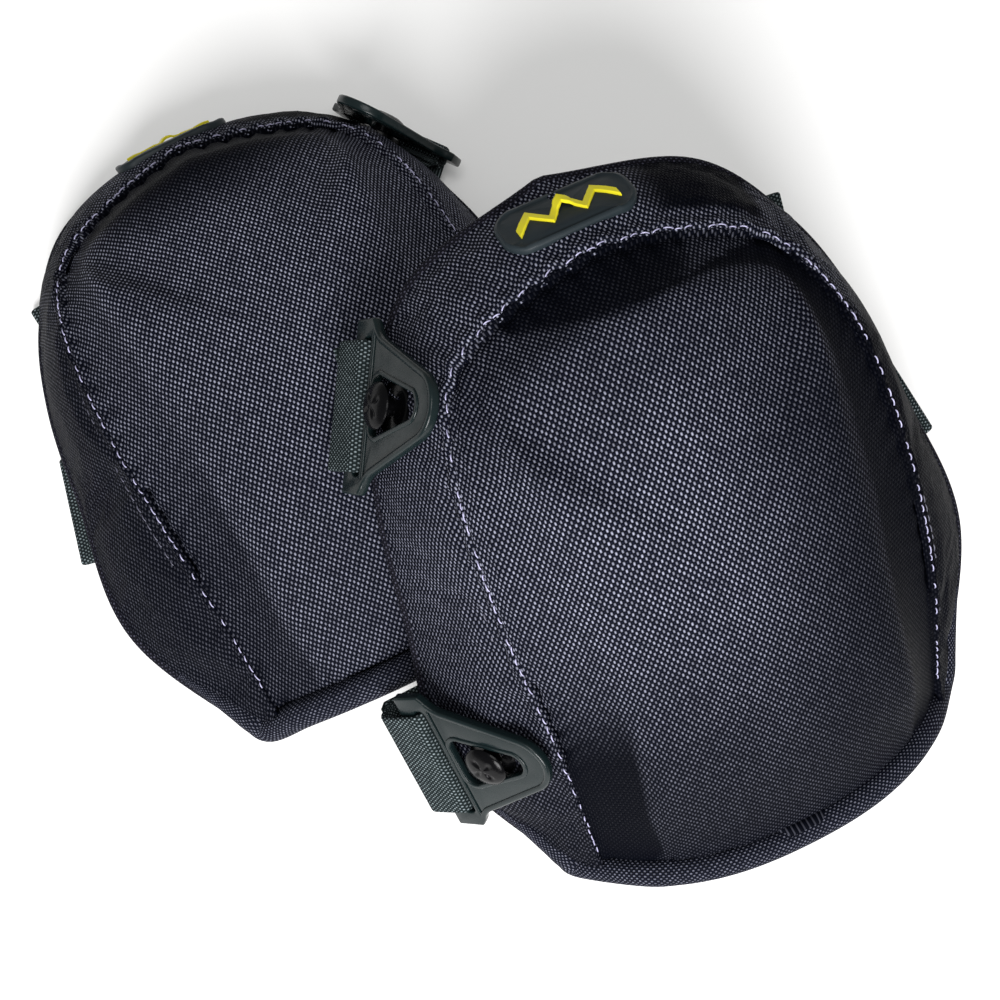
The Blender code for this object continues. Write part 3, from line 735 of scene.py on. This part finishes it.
def band_lift(angles, along, share, gone, wave):
    """How far the band stands out of its mean surface: bulge, corner ridges, seam roll and waves."""
    ridges = sum(np.maximum(0, 1 - np.abs(angles - ridge) / RIDGE[1])
                 for ridge in (RIDGE_ANGLE, math.pi - RIDGE_ANGLE))
    lift = BAND_BULGE * np.sin(math.pi * share)
    lift = lift + RIDGE[0] * ridges * np.sin(math.pi * np.clip(share * 0.7 + 0.25, 0, 1))
    lift = lift + 1.1 * np.exp(-((gone - 2.2) / 1.7) ** 2) - GROOVE * np.exp(-(gone / 0.9) ** 2)
    lift = lift - 0.8 * wave * np.exp(-gone / 6.0) * smoothstep(0, 2, gone)
    lift = lift + 0.4 * np.sin(along / 15 + 1.0) * np.sin(math.pi * share)
    return lift + np.sin(along / 6.1) * share * (1 - share)


def band_cloth(turn, flat, near):
    """Cloth coordinates on from the cap's: by the chart, and evenly on where it is too steep."""

    def charted(radius):
        return CHART.at(polar(turn, radius, np.zeros_like(turn)).reshape(-1, 3))

    beyond = np.maximum(near + 2.0 - flat, 0)
    stretch = (charted(near + 5.0) - charted(near + 2.0)) / 3.0
    return charted(flat + beyond) - stretch * beyond.reshape(-1, 1)


def band_dimming(side, angles, gone, x, y):
    """Painted shade along the band's top, on its far side and away from the brightest spot."""
    sharp, soft = (math.radians(a) for a in TOP_SHADE[side])
    way = (angles - sharp) / (soft - sharp)
    top = 0.98 * smoothstep(0, 0.06, way) * (1 - smoothstep(0.75, 1.1, way)) * smoothstep(5, 9, gone)
    shade, relief = SIDE_SHADE[side]
    side_falloff_shade = np.maximum(painted_falloff(side, x, y), shade * smoothstep(10, 50, -x))
    return np.maximum(top, side_falloff_shade * (1 - relief * smoothstep(22, 50, y)))


def band_surface(side):
    """The border band's points, faces, cloth coordinates, painted shade and pin weights."""
    angles = np.linspace(CORNER + 0.012, math.pi - CORNER - 0.012, 300)
    share = np.concatenate([[0.0], np.linspace(0, 1, 30) ** 1.15])[:, None]
    (rs, zs), (rr, zr) = SEAM_LINE.at(angles), RIM_LINE.at(angles)
    run, fall = rr - rs, zs - zr
    slant = np.hypot(run, fall)
    gone = share * slant
    along = seam_run(angles)
    wave = ripple(along) * top_share(angles)
    lift = band_lift(angles, along, share, gone, wave)
    place = share - 0.9 * wave * np.exp(-gone / 4.0) / slant
    radius = rs + place * run + lift * fall / slant
    height = zs - place * fall + lift * run / slant
    height[0] -= 1.6
    radius[0] += 0.8
    turn = np.broadcast_to(angles, radius.shape)
    points = polar(turn, radius, height)
    step = np.linalg.norm(np.diff(points, axis=0), axis=2)
    cloth = np.vstack([np.zeros(len(angles)), np.cumsum(step, 0)])
    flat = rs + (cloth - cloth[4] + gone[4]) / slant * run
    count = len(angles)
    faces = [(r * count + i, (r + 1) * count + i, (r + 1) * count + i + 1, r * count + i + 1)
             for r in range(len(share) - 1) for i in range(count - 1)]
    # Painted shade on the band, darkening its colour.
    dim = band_dimming(side, angles, gone, points[..., 0], points[..., 1])
    pins = np.clip(np.exp(-np.minimum(gone, (1 - share) * slant) / 2.0), 0, 1)
    return points.reshape(-1, 3), faces, band_cloth(turn, flat, rs), dim.ravel(), pins.ravel()


def rim_path(start, stop, count, inset=1.8):
    """Points just inside the rim between two angles."""
    angles = np.linspace(start, stop, count)
    return polar(angles, RIM_LINE.at(angles)[0] - inset, np.zeros(count))


def hem_path():
    """The hem roll's middle line, up both sides of the rim and over the shin, and its girth."""
    arch = hem_edge(SEAM[0][0] - 3, 24) + (0, -3.4, -2.4)
    corner = rim_path(CORNER + 0.34, CORNER + 0.03, 7, inset=2.4)
    corner[:, 2] += np.linspace(1.2, 3.0, 7)
    route = np.vstack([corner * (-1, 1, 1), arch[1:-1:4], corner[::-1]])
    path = through(route, 8)
    ends = np.minimum(np.arange(len(path)), np.arange(len(path))[::-1]) / (8 * 7)
    return path, 0.42 + 0.58 * smoothstep(0.05, 1.0, ends)


def stitch_row(side, name, look, inset, rise, jitter, sunk):
    """A row of thread along the band, at a distance from the seam and over the band's mean surface.

    The larger sunk is, the more stitches disappear in the puckers.
    """
    steps = np.linspace(CORNER + 0.03, math.pi - CORNER - 0.03, 4000)
    (rs, zs), (rr, zr) = SEAM_LINE.at(steps), RIM_LINE.at(steps)
    slant = np.hypot(rr - rs, zs - zr)
    down, out = (zs - zr) / slant, (rr - rs) / slant
    inset = inset - 0.9 * ripple(seam_run(steps)) * top_share(steps) * math.exp(-inset / 4)
    line = polar(steps, rs + inset * out + rise * down, zs - inset * down + rise * out)
    normal = np.stack([down * np.cos(steps), down * np.sin(steps), out], 1)
    run = lengths_along(line)
    chance = np.random.default_rng(7)
    pairs, normals = [], []
    at = 2.0
    while at < run[-1] - 4:
        reach = STITCH_LENGTH * chance.uniform(0.75, 1.2)
        ends = [np.array([np.interp(s, run, line[:, k]) for k in range(3)]) for s in (at, at + reach)]
        upright = np.array([np.interp(at, run, normal[:, k]) for k in range(3)])
        at += STITCH_PITCH * chance.uniform(0.9, 1.12)
        if chance.uniform(-0.4, 1.6) < ripple(seam_run(np.interp(at, run, steps))) * sunk:
            continue
        inward = np.cross(ends[1] - ends[0], upright)
        inward /= np.linalg.norm(inward)
        ends = [end + inward * jitter * chance.uniform(-1, 1) for end in ends]
        pairs.append(ends)
        normals.append(upright)
    points, faces = stitches(pairs, normals, STITCH_RADIUS, 0.12)
    pad_piece(side, name, points, faces, look, "ballistic_fabric", angle=0)


def pad_cloth(side):
    """Cap, band, hem roll, binding and stitching of one pad. Returns the band's surface for the badge."""
    points, faces, uv, dim, pins = cap_surface(side)
    # The cap and band carry their painted shade as a mesh attribute.
    cap = pad_piece(side, "cap_cover", points, faces, BALLISTIC, "ballistic_fabric", uv, angle=0, dim=dim)
    swell(cap, pins, pressure=0.35, slack=0.012, limit=2.2 * MM)
    thicken(cap, FABRIC)
    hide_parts(side + "_cap_panel")

    points, faces, uv, dim, pins = band_surface(side)
    band = pad_piece(side, "border_cover", points, faces, BALLISTIC, "ballistic_fabric", uv,
                     angle=0, dim=dim)
    swell(band, pins, pressure=0.25, slack=0.012, limit=1.6 * MM)
    tree = BVHTree.FromObject(band, bpy.context.evaluated_depsgraph_get())
    thicken(band, FABRIC)
    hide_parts(side + "_border_band")

    path, girth = hem_path()
    sides, ups = (v * girth[:, None] for v in frames_along(path))
    points, faces, uv = sweep(path, sides, ups, ellipse(4.8, 5.0, 28))
    hem = pad_piece(side, "hem_cover", points, faces, HEM_CLOTH, "ballistic_fabric", uv, angle=60)
    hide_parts(side + "_hem_roll")

    path = rim_path(CORNER + 0.02, math.pi - CORNER - 0.02, 220)
    points, faces, uv = sweep(path, *frames_along(path), ellipse(2.4, 2.3, 16))
    tape = pad_piece(side, "binding", points, faces, TAPE, "binding_tape", uv, angle=60)
    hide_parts(side + "_rim_binding")
    stitch_row(side, "seam_stitching", SEAM_THREAD, STITCH_INSET, rise=0.9, jitter=0.35, sunk=1.3)
    stitch_row(side, "topstitching", TOP_THREAD, TOPSTITCH_INSET, rise=0.55, jitter=0.1, sunk=0.0)
    return tree


def hollow_height(angle, share):
    """Height of the knee hollow over the rim plane."""
    _, edge = RIM_LINE.at(angle)
    floor = HOLLOW_EDGE + np.maximum(0.0, edge - HEM_STACK) * (hem_share(angle) > 0)
    return HOLLOW + (floor - HOLLOW) * share**HOLLOW_POWER


def layer(side, name, look, slot, node, top, bottom, reach):
    """A closed layer between two height functions of angle, share of the way to the rim and radius."""
    angles = np.linspace(-math.pi, math.pi, PAD_RAYS, endpoint=False)
    share = np.linspace(0, 1, 15)[1:, None] * reach(angles)
    turn = np.broadcast_to(angles, share.shape)
    radius = share * RIM_LINE.at(angles)[0]
    zero = np.array([0.0])
    points = np.vstack([[[0, CENTRE_Y, height(zero, zero, zero)[0]],
                         *polar(turn, radius, height(turn, share, radius)).reshape(-1, 3)]
                        for height in (top, bottom)])
    total = len(points) // 2
    up = dome_faces(len(share), PAD_RAYS)
    rim = range(total - PAD_RAYS, total)
    wall = [(a, a + total, b + total, b) for a, b in zip(rim, [*rim[1:], rim[0]])]
    faces = up + [tuple(total + i for i in reversed(f)) for f in up] + wall
    obj = pad_piece(side, name, points, faces, look, slot, points[:, :2], angle=40)
    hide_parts(f"{side}_{node}")


def padding(side):
    """Foam core, comfort foam and the brushed liner in the knee hollow."""

    def skin(a, s, r):
        x, y = r * np.cos(a), CENTRE_Y + r * np.sin(a)
        step = 1.0
        slope = np.hypot(skin_height(x + step, y) - skin_height(x - step, y),
                         skin_height(x, y + step) - skin_height(x, y - step)) / (2 * step)
        return skin_height(x, y) - 3.6 * np.hypot(1, np.minimum(slope, 2.0))

    def liner_top(a, s, r):
        return hollow_height(a, s) + 1.3

    def comfort_top(a, s, r):
        return liner_top(a, s, r) + 0.3 + COMFORT * (1 - 0.85 * s**2)

    def reach(a):
        return 0.8 + 0.13 * np.minimum(1, 1.5 * hem_share(a))

    layer(side, "core_foam", CORE_FOAM, "core_foam", "foam_core",
          lambda a, s, r: np.maximum(skin(a, s, r), comfort_top(a, s, r) + 1.0),
          lambda a, s, r: comfort_top(a, s, r) + 0.4, reach)
    layer(side, "soft_foam", SOFT_FOAM, "comfort_foam", "comfort_foam",
          comfort_top, lambda a, s, r: liner_top(a, s, r) + 0.3, reach)
    layer(side, "liner", LINER, "liner_fabric", "knee_liner",
          liner_top, lambda a, s, r: hollow_height(a, s), lambda a: np.full_like(a, 0.965))


# ---- badge

def band_top(side, tree):
    """A function that lays badge points (across, up, lift, in millimetres) on the top of the band."""
    (r0, z0), (r1, z1) = (line.at(math.pi / 2) for line in (SEAM_LINE, RIM_LINE))
    middle = Vector(to_world([(0, CENTRE_Y + (r0 + r1) / 2, (z0 + z1) / 2)], side)[0])
    middle, normal, _, _ = tree.find_nearest(middle)
    across = PLACE[side][1] @ Vector((SIDE[side], 0, 0))
    upward = normal.cross(across).normalized() * SIDE[side]

    def on_band(u, v, lift):
        start = middle + (across * u + upward * v) * MM + normal * 0.02
        hit, slope, _, _ = tree.ray_cast(start, -normal)
        return np.array(hit + (slope * 0.5 + normal * 0.5) * lift * MM)

    return on_band


def rounded(width, height, radius):
    """A rectangle with round corners."""
    points = []
    for sx, sy, start in ((1, 1, 0), (-1, 1, 90), (-1, -1, 180), (1, -1, 270)):
        corner = (sx * (width / 2 - radius), sy * (height / 2 - radius))
        points += arc(corner, radius, start, start + 90, 10)
    return points


def badge(side, on_band):
    """The rubber badge on the top of the band: a bordered patch with a raised zigzag."""
    options = dict(body=side + "_pad", flip=side == "right")
    width, height, radius = BADGE
    # Width, height, corner radius and lift, from the patch's foot to the middle of its face.
    rings = [(width, height, radius, 0.1), (width, height, radius, 1.6),
             (width - 0.8, height - 0.8, radius - 0.4, 2.1),
             (width - 2.2, height - 2.2, radius - 1.1, 2.15),
             (width - 3.0, height - 3.0, radius - 1.5, 1.7)]
    rings += [(width * s, height * s, radius * s, 1.7) for s in (0.8, 0.6, 0.4, 0.2)]
    points = np.array([on_band(x, y, lift) for *size, lift in rings for x, y in rounded(*size)])
    count = len(points) // len(rings)
    faces = tube_faces(len(rings), count)
    faces += [tuple(range(len(points) - count, len(points))), tuple(reversed(range(count)))]
    patch = mesh_piece(side + "_badge_patch", points, faces, BADGE_RUBBER, slot="badge_rubber",
                       angle=50, **options)
    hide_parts(side + "_badge")

    peaks, pitch, swing, arm = ZIGZAG
    corners = [(pitch * (i / 2 - peaks / 2), swing * (i % 2 - 0.5)) for i in range(2 * peaks + 1)]
    path = [(x0 + (x1 - x0) * t, y0 + (y1 - y0) * t) for (x0, y0), (x1, y1) in zip(corners, corners[1:])
            for t in np.linspace(0, 1, 8, endpoint=False)]
    path.append(corners[-1])
    section = [(-0.5, 1.6), (-0.5, 2.2), (-0.36, 2.5), (0.36, 2.5), (0.5, 2.2), (0.5, 1.6)]
    points = np.array([on_band(x, y + arm * s, lift) for x, y in path for s, lift in section])
    count = len(section)
    faces = [(a, d, c, b) for a, b, c, d in tube_faces(len(path), count)]
    faces += [tuple(range(count)), tuple(reversed(range(len(points) - count, len(points))))]
    motif = mesh_piece(side + "_badge_zigzag", points, faces, BADGE_YELLOW, slot="badge_yellow",
                       angle=30, **options)
    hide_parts(side + "_badge_motif")


# ---- studs, clips and straps

def mirrored(upper):
    """An outline from its upper half, whose first point lies on the middle line."""
    return upper + [(x, -y) for x, y in reversed(upper[1:])]


def clip_outline():
    """The clip from above: nose, waisted sides and the bar's rounded ends."""
    half = CLIP_WIDTH / 2
    return mirrored(arc((CLIP_LENGTH - NOSE_RADIUS, 0), NOSE_RADIUS, 0, 62, 12)
                    + arc((17.0, half + 2.6), 10.0, 240, 206, 8)
                    + arc((6.2, half - 1.0), 0.9, 20, 80, 4) + arc((-1.7, half - 1.2), 0.9, 95, 180, 4))


def keyhole(grow):
    """The opening for the stud, narrow at the nose."""
    tip = arc((29.0, 0), 4.0 + grow, -60, 60, 10)
    base = arc((12.6, 5.6), 3.0 + grow, 60, 180, 8)
    return tip + base + [(x, -y) for x, y in reversed(base)]


def slot_hole():
    """The slot the strap goes through, beside the bar."""
    x0, x1, half, r = 3.0, 6.4, (WEB_WIDTH + 1.6) / 2, 1.2
    return (arc((x1 - r, half - r), r, 0, 90, 4) + arc((x0 + r, half - r), r, 90, 180, 4)
            + arc((x0 + r, r - half), r, 180, 270, 4) + arc((x1 - r, r - half), r, 270, 360, 4))


def recess(grow):
    """The sunken face of the clip, inside its rim and clear of the bar."""
    return mirrored(arc((CLIP_LENGTH - NOSE_RADIUS, 0), NOSE_RADIUS - 2.0 + grow, 0, 62, 12)
                    + arc((17.0, CLIP_WIDTH / 2 + 2.6), 12.0 - grow, 240, 221, 6))


def flat_mesh(outlines, thickness, bevel):
    """A plate from outlines, centred on z = 0, with rounded edges, as a mesh in millimetres."""
    curve = bpy.data.curves.new("plate", "CURVE")
    curve.dimensions = "2D"
    curve.fill_mode = "BOTH"
    curve.extrude = thickness / 2 - bevel
    curve.bevel_depth = bevel
    curve.bevel_resolution = 2
    curve.offset = -bevel
    for outline in outlines:
        spline = curve.splines.new("POLY")
        spline.points.add(len(outline) - 1)
        for point, (x, y) in zip(spline.points, outline):
            point.co = (x, y, 0.0, 1.0)
        spline.use_cyclic_u = True
    holder = linked("plate", curve)
    mesh = bpy.data.meshes.new_from_object(holder.evaluated_get(bpy.context.evaluated_depsgraph_get()))
    bpy.data.objects.remove(holder)
    shape = bmesh.new()
    shape.from_mesh(mesh)
    bmesh.ops.remove_doubles(shape, verts=shape.verts, dist=0.001)
    bmesh.ops.recalc_face_normals(shape, faces=shape.faces)
    shape.to_mesh(mesh)
    shape.free()
    return mesh


def joined(meshes, place):
    """Points and faces of several meshes as one, moved by a matrix."""
    points, faces = [], []
    for mesh in meshes:
        first = len(points)
        points += [tuple(place @ v.co) for v in mesh.vertices]
        faces += [tuple(first + i for i in p.vertices) for p in mesh.polygons]
    return np.array(points), faces


def mount_of(side, level):
    """Matrix of a stud: Z out of the band, X up the slope, in metres."""
    joints = frame["record"]["behaviour"]["joints"]
    joint = next(j for j in joints if j["name"] == f"{side}_{level}_clip_swivel")
    normal = Vector(joint["axis"]).normalized()
    pad_up = PLACE[side][1] @ Vector((0, 0, 1))
    slope = (pad_up - normal * normal.dot(pad_up)).normalized()
    turn = Matrix((slope, normal.cross(slope), normal)).transposed().to_4x4()
    twist = Matrix.Rotation(math.radians(-SIDE[side] * TWIST[level]), 4, "Z")
    return Matrix.Translation(Vector(joint["pos_m"])) @ turn @ twist


def mount_piece(side, level, name, mount, points, faces, look, body, slot, uv=None, **options):
    """A piece from millimetre points in a mount's frame."""
    world = np.array([tuple(mount @ (Vector(p) * MM)) for p in points])
    return mesh_piece(f"{side}_{level}_{name}", world, faces, look, f"{side}_{body}", slot, uv, **options)


def stud(side, level, mount):
    """Mushroom stud with four pips pressed in its head."""
    profile = [(0, 8.9), (2.0, 8.87), (4.2, 8.6), (5.6, 8.1), (6.4, 7.6), (6.75, 7.1), (6.6, 6.75),
               (6.0, 6.6), (3.0, 6.55), (3.0, 2.4), (3.3, 2.15), (7.3, 2.05), (8.0, 1.6), (8.0, 0.5),
               (2.4, 0.4), (2.4, -4.2), (0, -4.2)]
    rows = [(ra + (rb - ra) * t, za + (zb - za) * t)
            for (ra, za), (rb, zb) in zip(profile, profile[1:]) for t in (0.0, 0.5)]
    steps = 64
    turn = np.linspace(0, 2 * math.pi, steps, endpoint=False)
    rings = [(r * math.cos(t), r * math.sin(t), z) for r, z in rows[1:] for t in turn]
    points = [(0, 0, profile[0][1]), *rings, (0, 0, profile[-1][1])]
    last = len(points) - 1
    ring = last - steps
    faces = dome_faces(len(rows) - 1, steps)
    faces += [(last, ring + (i + 1) % steps, ring + i) for i in range(steps)]
    points = np.array(points)
    head = points[:, 2] > 8.4
    for k in range(4):
        around = k * math.pi / 2 + 0.5
        away = np.linalg.norm(points[:, :2] - (2.5 * math.cos(around), 2.5 * math.sin(around)), axis=1)
        points[:, 2] -= np.where(head, 0.7 * np.exp(-(away / 0.8) ** 4), 0)
    obj = mount_piece(side, level, "stud_cap", mount, points, faces, STUD_PLASTIC, "pad",
                      "clip_plastic", angle=40)
    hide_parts(f"{side}_{level}_stud")


def clip(side, level, mount):
    """The triangular clip: a plate with a raised rim, a thick bar and a rim round its keyhole."""
    rim = flat_mesh([clip_outline(), slot_hole(), recess(0.0)], CLIP_THICKNESS, 0.7)
    plate = flat_mesh([recess(0.5), keyhole(0.0)], 1.9, 0.3)
    lip = flat_mesh([keyhole(1.6), keyhole(0.1)], CLIP_THICKNESS - 0.3, 0.4)
    points, faces = joined([plate, rim, lip], Matrix.Translation((-SEAT[level], 0, CLIP_MIDDLE)))
    obj = mount_piece(side, level, "clip_plate", mount, points, faces, PLASTIC, level + "_buckle",
                      "clip_plastic", angle=38)
    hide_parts(f"{side}_{level}_clip")


def strap_loop(side, level, mount):
    """The strap's sewn end round the bar, with stitches along the bar: two rows on a long flap, one on a
    short one.
    """
    bar, flap, middle = -SEAT[level], FLAP[side], CLIP_MIDDLE
    end = bar - 4.2 - flap
    route = [(bar + 2.2, -3.2), (bar - 2.0, -3.4), (end + 2.2, -3.3), (end + 0.2, -1.9), (end, 0.4),
             (end + 1.2, 2.2), (end + 3.4, 2.7), (bar + 0.4, 2.5), (bar + 3.2, 2.2), (bar + 4.4, 0.9),
             (bar + 4.3, -0.9), (bar + 2.8, -1.9)]
    path = through([(x, 0, middle + z) for x, z in route], 6)
    sides = np.broadcast_to((0.0, 1.0, 0.0), path.shape)
    ups = np.cross(sides, tangents(path))
    points, faces, uv = sweep(path, sides, ups, web_section())
    obj = mount_piece(side, level, "strap_loop", mount, points, faces, ELASTIC, level + "_buckle",
                      "elastic_webbing", uv, angle=50)
    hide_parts(f"{side}_{level}_strap_end")
    pairs, outs = [], []
    for reach in (1.0, 3.2) if flap > 3 else (0.8,):
        at = int(np.argmin(np.abs(path[:, 0] - (bar - 2.0 - reach)) + 10 * (path[:, 2] < middle)))
        for y in np.arange(-WEB_WIDTH / 2 + 1.2, WEB_WIDTH / 2 - 2.6, 2.9):
            on = path[at] + ups[at] * WEB / 2
            pairs.append([on + (0, y, 0), on + (0, y + 2.0, 0)])
            outs.append(ups[at])
    points, faces = stitches(pairs, outs, 0.26, 0.25)
    mount_piece(side, level, "loop_stitching", mount, points, faces, DARK_THREAD, level + "_buckle",
                "elastic_webbing", angle=0)


def strap(side, level, mount):
    """The elastic from the flap round the rim and across the back, and its sewn fold."""
    start = np.array([*SPOT[level], STRAP_Z])
    end = np.array([*STRAP_TO[level], STRAP_Z])
    reach = np.linalg.norm(end - start)
    along = (end - start) / reach
    across = np.cross((0, 0, 1), along)
    edge = -SEAT[level] - FLAP[side]
    at_clip = [(-SEAT[level] - 1.0, CLIP_MIDDLE - 3.9), (edge - 2.6, CLIP_MIDDLE - 4.1),
               (edge - 4.4, CLIP_MIDDLE - 5.6)]
    from_mount = [np.array(mount @ (Vector((x, 0, z)) * MM)) for x, z in at_clip]
    under = to_world([start + along * d for d in np.linspace(14, reach - 6, 9)], side)
    path = through([*from_mount, *under], 8)
    mount_side = np.array(mount.to_3x3() @ Vector((0, 1, 0)))
    pad_side = np.array(PLACE[side][1]) @ (across * (SIDE[side], 1, 1))
    if mount_side @ pad_side < 0:
        pad_side = -pad_side
    run = np.linalg.norm(path - path[0], axis=1)
    blend = smoothstep(2 * MM, 20 * MM, run)[:, None]
    ahead = tangents(path)
    sides = mount_side * (1 - blend) + pad_side * blend
    sides = sides - ahead * np.sum(sides * ahead, 1, keepdims=True)
    sides /= np.linalg.norm(sides, axis=1, keepdims=True)
    points, faces, uv = sweep(path, sides * MM, np.cross(sides, ahead) * MM, web_section())
    uv[:, 1] /= MM
    prefix = f"{side}_{level}_"
    obj = mesh_piece(prefix + "strap_web", points, faces, ELASTIC, None, "elastic_webbing", uv, angle=50)
    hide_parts(prefix + "strap")
    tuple(under[5])
    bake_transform(obj)
    sewn_fold(side, level, end, along, across)


def sewn_fold(side, level, end, along, across):
    """The strap's far end, folded back on itself."""
    length, height = FOLD
    loop = [(0, 0.8), (length * 0.6, 0.8), (length - 1.6, 0.8), (length - 0.7, 0.0),
            (length - 1.6, -0.95), (length * 0.6, -0.95), (0, -0.95)]
    lowest = (WEB - height) / 2
    path = through([end + along * (x - length) + (0, 0, lowest + z) for x, z in loop], 6)
    sides = np.broadcast_to(across, path.shape)
    points, faces, uv = sweep(path, sides, np.cross(sides, tangents(path)), web_section())
    fold = pad_piece(side, level + "_sewn_fold", points, faces, ELASTIC, "elastic_webbing", uv, angle=50)
    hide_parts(f"{side}_{level}_strap_fold")


# ---- camera, light and floor

def camera():
    """At the photograph's viewing angle and distance."""
    data = bpy.data.cameras.new("camera")
    data.lens = LENS
    data.clip_start = 0.01
    obj = linked("camera", data)
    across = CAMERA_AHEAD.cross(CAMERA_UP).normalized()
    place = Matrix((across, across.cross(CAMERA_AHEAD), -CAMERA_AHEAD)).transposed().to_4x4()
    place.translation = (PLACE["left"][0] + CAMERA_FROM_LEFT_PAD) * MM
    obj.matrix_world = place
    bpy.context.scene.camera = obj


def lamp(name, location, power, colour):
    """A soft round lamp aimed at the pads."""
    data = bpy.data.lights.new(name, "AREA")
    data.shape = "DISK"
    data.size = LAMP_SIZE
    data.energy = power
    data.color = colour
    obj = linked(name, data)
    obj.location = location
    obj.rotation_euler = (LAMP_TARGET - obj.location).to_track_quat("-Z", "Y").to_euler()


def studio():
    """A plain pale floor, even light all round and two soft lamps."""
    floor_look = Look("pale floor", 0.8)
    floor_look.finish((0.88, 0.88, 0.87, 1.0))
    bpy.ops.mesh.primitive_plane_add(size=12, location=(0, 0, -0.0005))
    floor = bpy.context.object
    floor.name = "floor"
    floor.data.materials.append(floor_look.material)
    world = bpy.data.worlds.new("studio")
    world.use_nodes = True
    colour, strength = world.node_tree.nodes["Background"].inputs[:2]
    colour.default_value = (1, 1, 1, 1)
    strength.default_value = WORLD_LIGHT
    bpy.context.scene.world = world
    bpy.context.scene.view_settings.view_transform = "Standard"
    lamp("key", (-0.55, -1.05, 0.85), 42, (1.0, 0.99, 1.0))
    lamp("fill", (-0.1, -0.2, 1.5), 9, (1, 1, 1))


# ---- assembly

camera()
for pad in ("left", "right"):
    band_tree = pad_cloth(pad)
    padding(pad)
    badge(pad, band_top(pad, band_tree))
    for level in ("upper", "lower"):
        mount = mount_of(pad, level)
        stud(pad, level, mount)
        clip(pad, level, mount)
        strap_loop(pad, level, mount)
        strap(pad, level, mount)
        washer = frame["nodes"][f"{pad}_{level}_stud_washer"]
        washer.data.materials.clear()
        washer.data.materials.append(STEEL)
studio()
